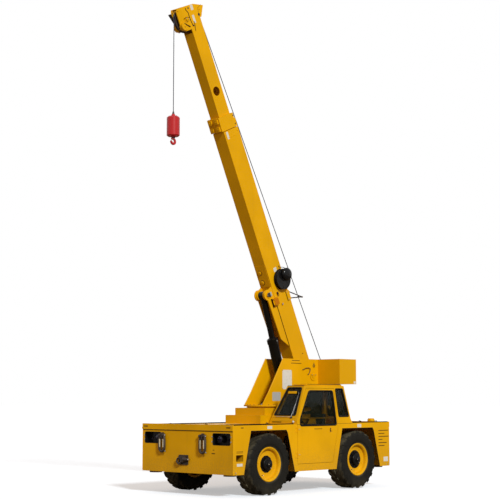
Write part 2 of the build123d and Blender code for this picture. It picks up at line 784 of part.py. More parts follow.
def seat_frame():
    """Seat plinth and console on the cab floor."""
    plinth = block((mid(-330), mid(80)), (700, 1080), (CAB_FLOOR_Z, SEAT_Z))
    plinth -= block((mid(-330) + SHEET, mid(80) - SHEET), (700 + SHEET, 1080 - SHEET), (CAB_FLOOR_Z - 5, SEAT_Z - SHEET))
    console = block((mid(330), mid(540)), (560, 1040), (CAB_FLOOR_Z, 1180))
    console -= block((mid(330) + SHEET, mid(540) - SHEET), (560 + SHEET, 1040 - SHEET), (CAB_FLOOR_Z - 5, 1180 - SHEET))
    length = 260
    column = STEER_TILT * Pos(0, 0, -15 - SEAM - length / 2) * Cylinder(24, length)
    lever_box = block((mid(-270), mid(90)), (LEVER_Y - 42, LEVER_Y + 42), (CAB_FLOOR_Z, LEVER_Z))
    lever_box = chamfer(lever_box.edges().group_by(Axis.Z)[-1], 14)
    for station in (-20, 45):
        lever_box += round_z(mid(station), LEVER_Y, (LEVER_Z - 5, LEVER_Z + 90), 7)
        lever_box += round_z(mid(station), LEVER_Y, (LEVER_Z + 85, LEVER_Z + 140), 17)
    return plinth + console + column + lever_box


def seat_cushions():
    """Seat pad and back, as plain closed solids."""
    top = SEAT_Z + SEAM + SEAT_PAD
    pad = block((mid(-320), mid(120)), (690, 1090), (SEAT_Z + SEAM, top))
    lean = Pos(mid(-320), 890, top) * Rot(0, -SEAT_RAKE, 0)
    back = lean * Pos(-15, 0, SEAM + 520 / 2) * Box(90, 400, 520)
    return pad + back


def steering_wheel():
    """Rim, hub and two spokes of the steering wheel."""
    ring = bar_ring(170, 12)
    hub = Cylinder(40, 30)
    spokes = Box(330, 26, 10) + Box(26, 330, 10)
    return STEER_TILT * (ring + hub + spokes)


def side_tank():
    """Tank that fills the right side between the arches, opposite the cab."""
    points = [
        (mid(598), BODY_Z),
        (mid(598), DECK_Z - DECK_PLATE),
        (mid(-598), DECK_Z - DECK_PLATE),
        (mid(-598), BODY_Z),
    ]
    tank = plate_y(points, (-SKIN_IN, -RAIL_Y - 30))
    inside = block(
        (mid(-598) + SHEET, mid(598) - SHEET),
        (-SKIN_IN + SHEET, -RAIL_Y - 30 - SHEET),
        (BODY_Z + SHEET, DECK_Z - DECK_PLATE - SHEET),
    )
    return tank - inside


def engine_hood():
    """Hollow hood over the engine, open below, with a louvred rear end."""
    x = (mid(HOOD_X[0]), mid(HOOD_X[1]))
    shape = block(x, HOOD_Y, (DECK_Z, HOOD_Z))
    shape = fillet(shape.edges().group_by(Axis.Z)[-1], 40)
    w = HOOD_WALL
    shape -= block((x[0] + w, x[1] - w), (HOOD_Y[0] + w, HOOD_Y[1] - w), (DECK_Z - 5, HOOD_Z - w))
    slot_count = 8
    pitch = 38
    for i in range(slot_count):
        z = DECK_Z + 70 + i * pitch
        shape -= block((x[0] - 5, x[0] + w + 5), (HOOD_Y[0] + 90, HOOD_Y[1] - 90), (z, z + 20))
    return shape


def engine():
    """Engine and pumps as one plain block between the rails."""
    return block((mid(ENGINE_X[0]), mid(ENGINE_X[1])), ENGINE_Y, ENGINE_Z)


def turret_frame():
    """Turntable, two cheek plates and the winch bay behind the boom's foot."""
    base = TIER_2[3] + BEARING_T + BEARING_GAP
    table_top = base + TABLE_T
    shape = round_z(mid(SLEW_X), 0, (base, table_top), TABLE_R)
    points = [
        (mid(512), table_top),
        (mid(505), table_top + 15),
        (mid(340), 1905),
        (mid(-105), TURRET_TOP),
        (mid(TAIL_X), TURRET_TOP),
        (mid(TAIL_X), TAIL_Z),
        (mid(-620), TAIL_Z),
        (mid(-500), 1780),
        (mid(-310), table_top),
    ]
    for side, sign in SIDES:
        shape += plate_y(points, (sign * (CHEEK_Y - CHEEK_T), sign * CHEEK_Y))
        outer = (sign * CHEEK_Y, sign * (CHEEK_Y + 14))
        shape += round_y(mid(PIVOT_X), PIVOT_Z, outer, 95)
        inner = (sign * (BASE_W / 2 + 6), sign * (CHEEK_Y - CHEEK_T))
        shape += round_y(mid(PIVOT_X), PIVOT_Z, inner, 80)
        eye = (sign * (EYE_HALF_W + 8), sign * (CHEEK_Y - CHEEK_T))
        shape += round_y(FOOT_PIN_X, CYL_FOOT_Z, eye, 75)
        shape += round_y(FOOT_PIN_X, CYL_FOOT_Z, outer, 80)
    shape += round_y(mid(PIVOT_X), PIVOT_Z, (-CHEEK_Y - 10, CHEEK_Y + 10), PIVOT_PIN_R)
    shape += round_y(FOOT_PIN_X, CYL_FOOT_Z, (-CHEEK_Y - 10, CHEEK_Y + 10), 40)
    half = CHEEK_Y - CHEEK_T
    shape += block((mid(WINCH_WALL_X) - 16, mid(WINCH_WALL_X)), (-half, half), (TAIL_Z, 2480))
    shape += block((mid(TAIL_X), mid(WINCH_WALL_X)), (-half, half), (TAIL_Z, TAIL_Z + 16))
    shape += round_y(mid(WINCH_X), WINCH_Z, (-half, half), 40)
    return shape


def counterweight():
    """Lobes each side of the cheeks, joined by the plate behind the winch."""
    lobe = block((mid(TAIL_X), mid(LOBE_X)), (CHEEK_Y, LOBE_Y), (TAIL_Z, TURRET_TOP))
    plate = block((mid(TAIL_X) - 20, mid(TAIL_X)), (-LOBE_Y, LOBE_Y), (TAIL_Z, TURRET_TOP))
    return both_sides(lobe) + plate


def winch_drum():
    """Drum with its flanges and a full layer of rope, about its own axis."""
    w = DRUM_HALF_W
    profile = [
        (40.05, -w),
        (DRUM_FLANGE_R, -w),
        (DRUM_FLANGE_R, -w + 14),
        (DRUM_R, -w + 14),
        (DRUM_R, w - 14),
        (DRUM_FLANGE_R, w - 14),
        (DRUM_FLANGE_R, w),
        (40.05, w),
    ]
    return Pos(mid(WINCH_X), 0, WINCH_Z) * turned_y(profile)


def box_tube(s_pair, width, height, bottom, wall):
    """Square tube along the boom."""
    outer = block(s_pair, (-width / 2, width / 2), (bottom, bottom + height))
    inner = block(
        (s_pair[0] - 5, s_pair[1] + 5),
        (-width / 2 + wall, width / 2 - wall),
        (bottom + wall, bottom + height - wall),
    )
    return outer - inner


BASE_BOTTOM = BASE_TOP_H - BASE_H
MID_BOTTOM = BASE_BOTTOM + BASE_WALL + SECTION_GAP
MID_W = BASE_W - 2 * (BASE_WALL + SECTION_GAP)
TIP_BOTTOM = MID_BOTTOM + MID_WALL + SECTION_GAP
TIP_W = MID_W - 2 * (MID_WALL + SECTION_GAP)


GUSSET_H = -474.0
DOUBLER = (2110.0, 2560.0)
DOUBLER_T = 6.0
BOSS_S = (2206.0, 2414.0)
BOSS_Y = -40.0
BOSS_R = 44.0
VALVE_S = (1722.0, 1856.0)
VALVE_H = (-386.0, -262.0)
GUIDE_FEET = (1690.0, 1838.0)
GUIDE_TIP = (1522.0, 26.0, 628.0)


def boom_side_gear():
    """Doubler with its bosses below, valve block, bracket and rope guide on the near side."""
    side = BASE_W / 2
    shape = block(DOUBLER, (-side + 12, side - 12), (BASE_BOTTOM - DOUBLER_T, BASE_BOTTOM))
    for s in BOSS_S:
        shape += round_z(s, BOSS_Y, (BASE_BOTTOM - DOUBLER_T - 22, BASE_BOTTOM), BOSS_R)
    shape += block(VALVE_S, (GUSSET_Y - 4, side + 56), VALVE_H)
    shape += block((VALVE_S[0] + 22, VALVE_S[1] - 22), (GUSSET_Y - 4, side + 34), (VALVE_H[0] - 26, VALVE_H[0]))
    shape += round_y(1672, -148, (side, side + 24), 20)
    shape += block((1880, 1950), (side, side + 6), (-216, -160))
    shape += block((1880, 1886), (side, side + 40), (-216, -160))
    foot = (min(GUIDE_FEET) - 28, max(GUIDE_FEET) + 22)
    shape += block(foot, (side, side + 16), (52, BASE_TOP_H + 10))
    for s in GUIDE_FEET:
        shape += straight_bar((s, side + 4, BASE_TOP_H - 10), GUIDE_TIP, 9)
    tip = Pos(*GUIDE_TIP) * Rot(90, 0, 0)
    return shape + tip * Cylinder(16, 20)


# Underside of the boom's foot, cut up so that it passes over the cab when the boom lies level
FOOT_LINE = [(FOOT_S, -60.0), (50.0, -195.0), (385.0, -195.0), (468.0, BASE_BOTTOM)]
PAD_LEN = 110.0
PAD_SIDE = 60.0


def wear_pads(s, width, outer_low, inner_low, outer_high, inner_high, place):
    """Sliding pads between two boom sections, above or below the inner one."""
    if place == "below":
        h_pair = (outer_low, inner_low - SEAM)
    else:
        h_pair = (inner_high, outer_high - SEAM)
    pad = block((s, s + PAD_LEN), (width / 2 - PAD_SIDE - 25, width / 2 - 25), h_pair)
    return both_sides(pad)


def boom_base():
    """Base section with its foot, lift lug and gussets."""
    shape = box_tube((FOOT_S, BASE_END_S), BASE_W, BASE_H, BASE_BOTTOM, BASE_WALL)
    below = BASE_BOTTOM - 10
    cut = [(FOOT_S - 10, -53), *FOOT_LINE[1:], (FOOT_LINE[-1][0], below), (FOOT_S - 10, below)]
    shape -= plate_y(cut, (-200, 200))
    floor = FOOT_LINE + [(x + 10, h + 15) for x, h in reversed(FOOT_LINE[1:-1])] + [(FOOT_S, FOOT_LINE[0][1] + 15)]
    shape += plate_y(floor, (-BASE_W / 2 + 5, BASE_W / 2 - 5))
    shape += round_y(0, 0, (-BASE_W / 2 - 4, BASE_W / 2 + 4), 85)
    shape -= round_y(0, 0, (-BASE_W, BASE_W), PIVOT_PIN_R + SPINDLE_CLEAR)
    shape += block((470, 490), (-BASE_W / 2 + 5, BASE_W / 2 - 5), (BASE_BOTTOM + 5, BASE_TOP_H - 5))
    gusset = [
        (790, BASE_BOTTOM + 5),
        (1030, GUSSET_H),
        (LUG_S - 80, GUSSET_H - 22),
        (LUG_S + 85, LUG_H + 10),
        (LUG_S + 122, BASE_BOTTOM + 5),
    ]
    for side, sign in SIDES:
        y_pair = (sign * (GUSSET_Y - GUSSET_T), sign * GUSSET_Y)
        shape += plate_y(gusset, y_pair)
        shape += round_y(LUG_S, LUG_H, y_pair, 112)
        shape += round_y(LUG_S, LUG_H, (sign * (EYE_HALF_W + 6), sign * GUSSET_Y), 95)
        shape += round_y(LUG_S, LUG_H, (sign * GUSSET_Y, sign * (GUSSET_Y + 14)), 62)
    inner_low = BASE_BOTTOM + BASE_WALL
    shape += wear_pads(BASE_END_S - PAD_LEN, MID_W, inner_low, MID_BOTTOM, 0, 0, "below")
    shape += boom_side_gear()
    shape += round_y(REEL_S, REEL_H, (BASE_W / 2, BASE_W / 2 + REEL_GAP - SEAM), 48)
    shape += round_y(REEL_S, REEL_H, (BASE_W / 2, BASE_W / 2 + REEL_GAP + REEL_WIDTH + 6), REEL_PIN_R)
    return BOOM_FRAME * shape


def boom_mid():
    """Middle section, run in, with the collar at its mouth."""
    start = BASE_END_S + COLLAR_GAP
    shape = box_tube((MID_START_S, start + COLLAR_LEN), MID_W, MID_H, MID_BOTTOM, MID_WALL)
    low = BASE_BOTTOM - 42
    high = MID_BOTTOM + MID_H + 32
    half = BASE_W / 2 + 8
    outer = block((start, start + COLLAR_LEN), (-half, half), (low, high))
    inner = block(
        (start - 5, start + COLLAR_LEN + 5),
        (-MID_W / 2 + MID_WALL, MID_W / 2 - MID_WALL),
        (MID_BOTTOM + MID_WALL, MID_BOTTOM + MID_H - MID_WALL),
    )
    outer -= plate_y([(start + 170, high + 5), (start + 170, high - 28), (start + 300, high - 28), (start + 300, high + 5)],
                     (-half - 5, half + 5))
    for station in (start + 20, start + COLLAR_LEN - 110):
        outer += both_sides(block((station, station + 90), (38, 128), (low - 32, low)))
    shape = shape + outer - inner
    top = MID_BOTTOM + MID_H
    shape += wear_pads(MID_START_S, MID_W, 0, 0, BASE_TOP_H - BASE_WALL, top, "above")
    low_in = MID_BOTTOM + MID_WALL
    shape += wear_pads(start + COLLAR_LEN - PAD_LEN, TIP_W, low_in, TIP_BOTTOM, 0, 0, "below")
    return BOOM_FRAME * shape


HEAD_BACK = (7642.0, 94.0)
HEAD_CREST = (7847.0, 229.0)
CHEEK_EDGE = -502.0
LOBE = (7566.0, -424.0)
LOBE_R = 82.0
IDLER = (7800.0, 96.0)
IDLER_R = 48.0


def boom_tip():
    """Tip section and its head: upper plates, folded sheave cheeks, lobes and idler."""
    shape = box_tube((TIP_START_S, TIP_TUBE_END_S), TIP_W, TIP_H, TIP_BOTTOM, TIP_WALL)
    top = TIP_BOTTOM + TIP_H
    half = TIP_W / 2
    upper = [
        (TIP_TUBE_END_S - 60, TIP_BOTTOM),
        (TIP_TUBE_END_S - 60, top),
        (HEAD_BACK[0], top),
        HEAD_BACK,
        HEAD_CREST,
        (HEAD_END_S, -42),
        (HEAD_END_S, TIP_BOTTOM),
    ]
    cheek = [
        (7475, TIP_BOTTOM),
        (HEAD_END_S, TIP_BOTTOM),
        (HEAD_END_S, CHEEK_EDGE + 36),
        (7868, CHEEK_EDGE),
        (7560, CHEEK_EDGE),
        (7466, -430),
    ]
    fold = [
        (half, TIP_BOTTOM + 30),
        (half, TIP_BOTTOM + 4),
        (half - 10, -390),
        (half - 46, CHEEK_EDGE - 10),
        (half - 46 - HEAD_PLATE, CHEEK_EDGE - 10),
        (half - 10 - HEAD_PLATE, -382),
        (half - HEAD_PLATE, TIP_BOTTOM + 30),
    ]
    for side, sign in SIDES:
        shape += plate_y(upper, (sign * (half - HEAD_PLATE), sign * half))
        folded = plate_x([(sign * y, h) for y, h in fold], (7440, HEAD_END_S))
        shape += folded & plate_y(cheek + [(7475, TIP_BOTTOM + 30)], (0, sign * half))
        shape += round_y(*LOBE, (sign * (SHEAVE_W / 2 + 14), sign * half), LOBE_R)
        end_y = (sign * (SHEAVE_W / 2 - 2), sign * (half - HEAD_PLATE + 2))
        shape += block((HEAD_END_S - 14, HEAD_END_S), end_y, (-440, -42))
        shape += round_y(*IDLER, (sign * 26, sign * (half - HEAD_PLATE + 2)), 22)
        shape += round_y(SHEAVE_S, SHEAVE_H, (sign * (SHEAVE_W / 2 + 3), sign * half), 55)
    shape += block((TIP_TUBE_END_S - 20, HEAD_BACK[0] + 10), (-half, half), (top - 20, top))
    shape += round_y(*IDLER, (-26, 26), IDLER_R)
    shape += round_y(SHEAVE_S, SHEAVE_H, (-half - 12, half + 12), SHEAVE_PIN_R)
    shape -= round_y(6180, TIP_BOTTOM + 150, (-half - 5, half + 5), 92)
    shape += wear_pads(TIP_START_S, TIP_W, 0, 0, MID_BOTTOM + MID_H - MID_WALL, top, "above")
    return BOOM_FRAME * shape


def head_sheave():
    """Grooved sheave on the head pin, in place."""
    groove = SHEAVE_R - 1.3 * ROPE_R
    w = SHEAVE_W / 2
    profile = [
        (SHEAVE_PIN_R + SPINDLE_CLEAR, -w),
        (80, -w),
        (90, -12),
        (SHEAVE_R - 45, -12),
        (SHEAVE_R - 30, -w * 0.7),
        (SHEAVE_R, -w * 0.7),
        (groove, -ROPE_R),
        (groove, ROPE_R),
        (SHEAVE_R, w * 0.7),
        (SHEAVE_R - 30, w * 0.7),
        (SHEAVE_R - 45, 12),
        (90, 12),
        (80, w),
        (SHEAVE_PIN_R + SPINDLE_CLEAR, w),
    ]
    return Pos(SHEAVE_X, 0, SHEAVE_Z) * turned_y(profile)


def lift_barrel():
    """Lift cylinder barrel with its foot eye."""
    shape = round_x(0, 0, (90, BARREL_LEN), BARREL_R)
    shape += round_x(0, 0, (BARREL_LEN - 90, BARREL_LEN), BARREL_R + 10)
    shape += round_y(0, 0, (-EYE_HALF_W, EYE_HALF_W), 88)
    shape += block((0, 110), (-EYE_HALF_W, EYE_HALF_W), (-75, 75))
    shape -= round_x(0, 0, (140, BARREL_LEN - 70), BARREL_BORE)
    shape -= round_x(0, 0, (140, BARREL_LEN + 5), ROD_R + 0.5)
    shape -= round_y(0, 0, (-BARREL_R, BARREL_R), 40.05)
    return CYL_FRAME * shape


def lift_rod():
    """Lift rod with its piston and eye."""
    shape = round_x(0, 0, (CYL_LENGTH - PISTON_FROM_EYE, CYL_LENGTH - 60), ROD_R)
    piston = (CYL_LENGTH - PISTON_FROM_EYE, CYL_LENGTH - PISTON_FROM_EYE + 90)
    shape += round_x(0, 0, piston, BARREL_BORE - 0.5)
    shape += round_y(CYL_LENGTH, 0, (-EYE_HALF_W, EYE_HALF_W), ROD_EYE_R)
    shape -= round_y(CYL_LENGTH, 0, (-EYE_HALF_W - 5, EYE_HALF_W + 5), 36)
    return CYL_FRAME * shape


def rope_fall():
    """The hanging part of the hoist rope, from the sheave to the hook weight."""
    return round_z(FALL_X, 0, (HOOK_TOP_Z, SHEAVE_Z), ROPE_R)


def hook_weight():
    """Overhaul weight above the hook, with its rope socket."""
    top = HOOK_TOP_Z - SEAM
    profile = [
        (0, top - WEIGHT_H),
        (WEIGHT_R - 20, top - WEIGHT_H),
        (WEIGHT_R, top - WEIGHT_H + 20),
        (WEIGHT_R, top - 70),
        (WEIGHT_R - 25, top - 45),
        (45, top - 40),
        (32, top),
        (0, top),
    ]
    face = make_face(Polyline(*[(r, 0, z) for r, z in profile], close=True))
    return Pos(FALL_X, 0, 0) * revolve(face, Axis.Z)


HOOK_SHANK_R = 22.0
HOOK_Z = 6661.0
HOOK_R = 48.0
HOOK_BAR_R = 20.0
HOOK_BELLY = 6.0
HOOK_EASE = 8.0


def hook():
    """Swivel hook under the weight."""
    top = HOOK_TOP_Z - SEAM - WEIGHT_H - SEAM
    shape = round_z(0, 0, (HOOK_Z + HOOK_R, top), HOOK_SHANK_R)
    shape += round_z(0, 0, (top - 18, top), 44)
    side = Plane(origin=(0, HOOK_BAR_R, HOOK_Z), x_dir=(1, 0, 0), z_dir=(0, -1, 0))
    belly = side * (Circle(HOOK_R + HOOK_BAR_R) - Pos(2, HOOK_BELLY) * Circle(HOOK_R - HOOK_BAR_R))
    ring = extrude(belly, 2 * HOOK_BAR_R)
    ring = chamfer(ring.edges().filter_by(GeomType.CIRCLE), HOOK_EASE)
    mouth = block((16, 130), (-60, 60), (HOOK_Z + 4, HOOK_Z + 44))
    shape += ring - mouth
    return Pos(FALL_X, 0, 0) * shape


def reel_drum():
    """Cable reel on the left side of the base section."""
    y = BASE_W / 2 + REEL_GAP
    profile = [
        (REEL_PIN_R + SPINDLE_CLEAR, y),
        (REEL_R, y),
        (REEL_R, y + 10),
        (REEL_R - 25, y + 10),
        (REEL_R - 25, y + REEL_WIDTH - 14),
        (REEL_R, y + REEL_WIDTH - 14),
        (REEL_R, y + REEL_WIDTH - 4),
        (95, y + REEL_WIDTH - 4),
        (95, y + REEL_WIDTH),
        (REEL_PIN_R + SPINDLE_CLEAR, y + REEL_WIDTH),
    ]
    return BOOM_FRAME * Pos(REEL_S, 0, REEL_H) * turned_y(profile)


def outrigger_leg(end, sign):
    """Inclined leg with its foot pad."""
    frame = leg_frame(end, sign)
    leg = frame * Pos(LEG_LEN / 2, 0, 0) * Box(LEG_LEN, LEG_SIZE, LEG_SIZE)
    x = frame.position.X
    pad = round_z(x, sign * LEG_FOOT_Y, (PAD_Z, PAD_Z + 22), PAD_R)
    post = round_z(x, sign * LEG_FOOT_Y, (PAD_Z, LEG_FOOT_Z), 45)
    return leg + pad + post


SHACKLE_Y = (-635.0, 467.0)
SHACKLE_OUT = 38.0
SHACKLE_PIN_Z = 1102.0
SHACKLE_BOW_Z = 845.0
SHACKLE_R = 52.0
SHACKLE_BAR = 18.0
PINTLE_Y = (-190.0, 60.0)
PINTLE_Z = (563.0, 746.0)


def tow_fittings():
    """Two shackle lugs with their shackles, and the pintle hook, on the front plate."""
    shape = None
    x = FRONT_X + SHACKLE_OUT
    for y in SHACKLE_Y:
        lug = block((FRONT_X, x + 24), (y - 16, y + 16), (1034, 1154))
        lug = fillet(lug.edges().filter_by(Axis.Y).group_by(Axis.X)[-1], 22)
        pin = round_y(x, SHACKLE_PIN_Z, (y - SHACKLE_R - 26, y + SHACKLE_R + 22), 18)
        pin += round_y(x, SHACKLE_PIN_Z, (y - SHACKLE_R - 34, y - SHACKLE_R - 26), 28)
        legs = None
        for side, sign in SIDES:
            leg_y = y + sign * SHACKLE_R
            leg = straight_bar((x, leg_y, SHACKLE_BOW_Z), (x, leg_y, SHACKLE_PIN_Z - 8), SHACKLE_BAR)
            leg += round_y(x, SHACKLE_PIN_Z, (leg_y - SHACKLE_BAR, leg_y + SHACKLE_BAR), 32)
            legs = leg if legs is None else legs + leg
        bow = Pos(x, y, SHACKLE_BOW_Z) * Rot(0, -90, 0) * Rot(0, 0, 90) * bar_ring(SHACKLE_R, SHACKLE_BAR, 180)
        piece = lug + pin + legs + bow
        shape = piece if shape is None else shape + piece
    z = sum(PINTLE_Z) / 2
    pintle = block((FRONT_X, FRONT_X + 18), PINTLE_Y, PINTLE_Z)
    pintle = fillet(pintle.edges().filter_by(Axis.X), 16)
    pintle += round_x(-62, z, (FRONT_X + 18, FRONT_X + 60), 46)
    pintle += block((FRONT_X + 18, FRONT_X + 68), (-112, 6), (z + 24, z + 68))
    ring = Pos(FRONT_X + 46, -150, z - 20) * Rot(0, 90, 0) * bar_ring(54, 17)
    tilted = Plane(origin=(FRONT_X + 46, -20, z + 10), z_dir=(0, 1, 0))
    cone = tilted * Pos(0, 0, 65) * Cone(44, 24, 130)
    return shape + pintle + ring + cone


LAMP_Y = 853.0
LAMP_Z = 1056.0
LAMP_R = 62.0


def lamps():
    """Lamps in recessed boxes behind the end plates: round in front, oblong behind."""
    shape = None
    z_pair = (LAMP_WINDOW_Z[0] - 20, LAMP_WINDOW_Z[1] + 20)
    for end, face in ((1, FRONT_X), (-1, REAR_X)):
        x = face - end * BUMPER_PLATE
        back = x - end * LAMP_RECESS
        for side, sign in SIDES:
            y_pair = (sign * (LAMP_WINDOW_Y[0] - 20), sign * (LAMP_WINDOW_Y[1] + 20))
            case = block((back, x), y_pair, z_pair)
            inner_y = (y_pair[0] + sign * 8, y_pair[1] - sign * 8)
            case -= block((back + end * 10, x + end * 5), inner_y, (z_pair[0] + 8, z_pair[1] - 8))
            if end > 0:
                case += round_x(sign * LAMP_Y, LAMP_Z, (back + 10, x - 20), LAMP_R)
                case += round_x(sign * LAMP_Y, LAMP_Z, (back + 10, x - 30), LAMP_R + 12)
            else:
                case += block((back - 10, x + 24), (sign * 745, sign * 925), (LAMP_Z - 50, LAMP_Z + 50))
                case += block((back - 10, x + 24), (sign * 945, sign * 1060), (LAMP_Z - 50, LAMP_Z + 50))
            shape = case if shape is None else shape + case
    return shape


def build():
    """Make every node."""
    nodes["side_panels"] = side_panels()
    nodes["deck_plate"] = deck_plate()
    nodes["front_bumper"] = bumper(1)
    nodes["rear_bumper"] = bumper(-1)
    nodes["main_frame"] = main_frame()
    nodes["pedestal"] = pedestal()
    nodes["front_axle"] = axle(FRONT_AXLE_X, 1)
    nodes["rear_axle"] = axle(REAR_AXLE_X, -1)
    nodes["cab_shell"] = cab_shell()
    nodes["cab_glass"] = cab_glass()
    nodes["cab_door"] = cab_door()
    nodes["door_glass"] = door_glass()
    nodes["seat_frame"] = seat_frame()
    nodes["seat_cushions"] = seat_cushions()
    nodes["steering_wheel"] = steering_wheel()
    nodes["side_tank"] = side_tank()
    nodes["engine_hood"] = engine_hood()
    nodes["engine"] = engine()
    nodes["tow_fittings"] = tow_fittings()
    nodes["lamps"] = lamps()
    for corner, end, sign in CORNERS:
        axle_x = FRONT_AXLE_X if end > 0 else REAR_AXLE_X
        place = Pos(axle_x, sign * WHEEL_Y, AXLE_Z)
        turn = Rot(0, 0, 0) if sign > 0 else Rot(0, 0, 180)
        nodes["knuckle_" + corner] = knuckle(axle_x, sign)
        nodes["tyre_" + corner] = place * tyre()
        nodes["rim_" + corner] = place * turn * rim()
        nodes["outrigger_" + corner] = outrigger_leg(end, sign)
    nodes["turret_frame"] = turret_frame()
    nodes["counterweight"] = counterweight()
    nodes["winch_drum"] = winch_drum()
    nodes["boom_base"] = boom_base()
    nodes["reel_drum"] = reel_drum()
    nodes["boom_mid"] = boom_mid()
    nodes["boom_tip"] = boom_tip()
    nodes["head_sheave"] = head_sheave()
    nodes["lift_barrel"] = lift_barrel()
    nodes["lift_rod"] = lift_rod()
    nodes["rope_fall"] = rope_fall()
    nodes["hook_weight"] = hook_weight()
    nodes["hook"] = hook()


build()
low = [1e9, 1e9, 1e9]
high = [-1e9, -1e9, -1e9]
for name, shape in nodes.items():
    shape.label = name
    box = shape.bounding_box()
    low = [min(a, b) for a, b in zip(low, box.min)]
    high = [max(a, b) for a, b in zip(high, box.max)]
    export_step(shape, f"parts/{name}.step")
print("nodes", len(nodes), "low", [round(v, 1) for v in low], "high", [round(v, 1) for v in high])
print("cylinder", round(CYL_LENGTH, 1), round(CYL_ANGLE, 2), "sheave", round(SHEAVE_X, 1), round(SHEAVE_Z, 1))
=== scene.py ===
"""Dresses the carry deck crane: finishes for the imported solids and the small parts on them.

Metres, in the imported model's frame: +X forward, +Y the operator's left, +Z up.
"""
from math import acos, atan2, copysign, cos, pi, radians, sin, tau

import bmesh
import bpy
from mathutils import Matrix, Vector


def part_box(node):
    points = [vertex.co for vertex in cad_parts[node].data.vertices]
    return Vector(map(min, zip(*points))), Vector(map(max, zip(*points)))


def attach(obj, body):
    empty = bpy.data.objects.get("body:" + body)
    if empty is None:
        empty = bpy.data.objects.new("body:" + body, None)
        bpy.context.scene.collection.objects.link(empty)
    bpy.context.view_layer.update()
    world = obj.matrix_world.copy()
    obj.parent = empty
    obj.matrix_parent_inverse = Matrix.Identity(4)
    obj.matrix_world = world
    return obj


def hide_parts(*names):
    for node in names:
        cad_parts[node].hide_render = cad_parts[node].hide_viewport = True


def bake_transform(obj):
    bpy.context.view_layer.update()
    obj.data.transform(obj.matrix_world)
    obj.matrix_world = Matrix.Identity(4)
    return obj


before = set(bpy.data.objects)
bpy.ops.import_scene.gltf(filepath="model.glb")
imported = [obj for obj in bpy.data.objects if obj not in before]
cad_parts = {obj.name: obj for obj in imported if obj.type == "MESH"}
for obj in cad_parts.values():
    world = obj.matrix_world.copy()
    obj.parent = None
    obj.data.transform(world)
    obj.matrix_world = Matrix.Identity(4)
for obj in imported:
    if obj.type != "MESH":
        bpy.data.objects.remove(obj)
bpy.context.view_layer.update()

bl_info = {
    "name": "Carry deck crane",
    "version": (1, 0, 0),
    "blender": (4, 5, 0),
    "location": "3D View > Sidebar > Crane",
    "description": "Finishes and small parts for a four wheel industrial crane",
    "category": "Object",
}

# Places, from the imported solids

MID = (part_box("rim_front_left")[0][0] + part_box("rim_rear_left")[1][0]) / 2
HALF_BASE = 1.324
FRONT_AXLE = MID + HALF_BASE
REAR_AXLE = MID - HALF_BASE
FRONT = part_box("side_panels")[1][0] + 0.02
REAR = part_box("side_panels")[0][0] - 0.02
SIDE = 1.22
FORE, AFT, LEFT, RIGHT, UP = (1, 0, 0), (-1, 0, 0), (0, 1, 0), (0, -1, 0), (0, 0, 1)
DECK = 1.307
WHEEL_Y = 0.99
AXLE_Z = 0.575
LUG_DEPTH = 0.026
SEAT_Y = 0.89
SEAT_TOP = 1.0003
CHEEK_Y = 0.25
TURRET_FLOOR = 1.668
SLEW_X = MID + 0.1
CORNERS = (
    ("front_left", FRONT_AXLE, 1),
    ("front_right", FRONT_AXLE, -1),
    ("rear_left", REAR_AXLE, 1),
    ("rear_right", REAR_AXLE, -1),
)


def mid(x):
    """World x of a place measured from the middle of the wheelbase."""
    return MID + x


def rect(width, height):
    """Outline of a rectangle about its centre."""
    x, y = width / 2, height / 2
    return [(-x, -y), (x, -y), (x, y), (-x, y)]


BOOM_ANGLE = radians(65)
BOOM_AXIS = Vector((cos(BOOM_ANGLE), 0, sin(BOOM_ANGLE)))
BOOM_UP = Vector((-sin(BOOM_ANGLE), 0, cos(BOOM_ANGLE)))
PIVOT = Vector((MID - 1.02, 0, 2.26))
BOOM = Matrix.Translation(PIVOT) @ Matrix.Rotation(-BOOM_ANGLE, 4, "Y")


def on_boom(s, y, h):
    """World place of a boom point: s along it, y to the left, h above its pivot line."""
    return PIVOT + BOOM_AXIS * s + Vector((0, y, 0)) + BOOM_UP * h


SHEAVE = on_boom(7.673, 0, -0.32)
ROPE_GUIDE = on_boom(1.57, 0.016, 0.525)
SHEAVE_WRAP = 0.2339
FALL_X = SHEAVE.x + SHEAVE_WRAP
IDLER = on_boom(7.8, 0, 0.096)
IDLER_WRAP = 0.0565
DRUM = Vector((MID - 1.52, 0, 2.365))
DRUM_WRAP = 0.1292
REEL = on_boom(2.145, 0, 0.02)
COLLAR_S = 5.394
COLLAR_SHARE = (5.55 - 1.57) / (7.8 - 1.57)
CYL_FOOT = Vector((MID - 0.42, 0, 1.82))
CYL_EYE = on_boom(1.983, 0, -0.45)
CYL_AXIS = (CYL_EYE - CYL_FOOT).normalized()


# What a user would change

class CraneSizes(bpy.types.PropertyGroup):
    lug_pairs: bpy.props.IntProperty(
        name="Tread lugs", description="Lugs round each shoulder of a tyre", default=20, min=8, max=40)
    lug_depth: bpy.props.FloatProperty(
        name="Lug depth", description="Height of a lug over the crown", default=LUG_DEPTH, unit="LENGTH")
    rope: bpy.props.FloatProperty(
        name="Rope diameter", description="Diameter of the hoist rope", default=0.016, unit="LENGTH")
    seal: bpy.props.FloatProperty(
        name="Window rubber", description="Width of the rubber round a pane", default=0.034, unit="LENGTH")


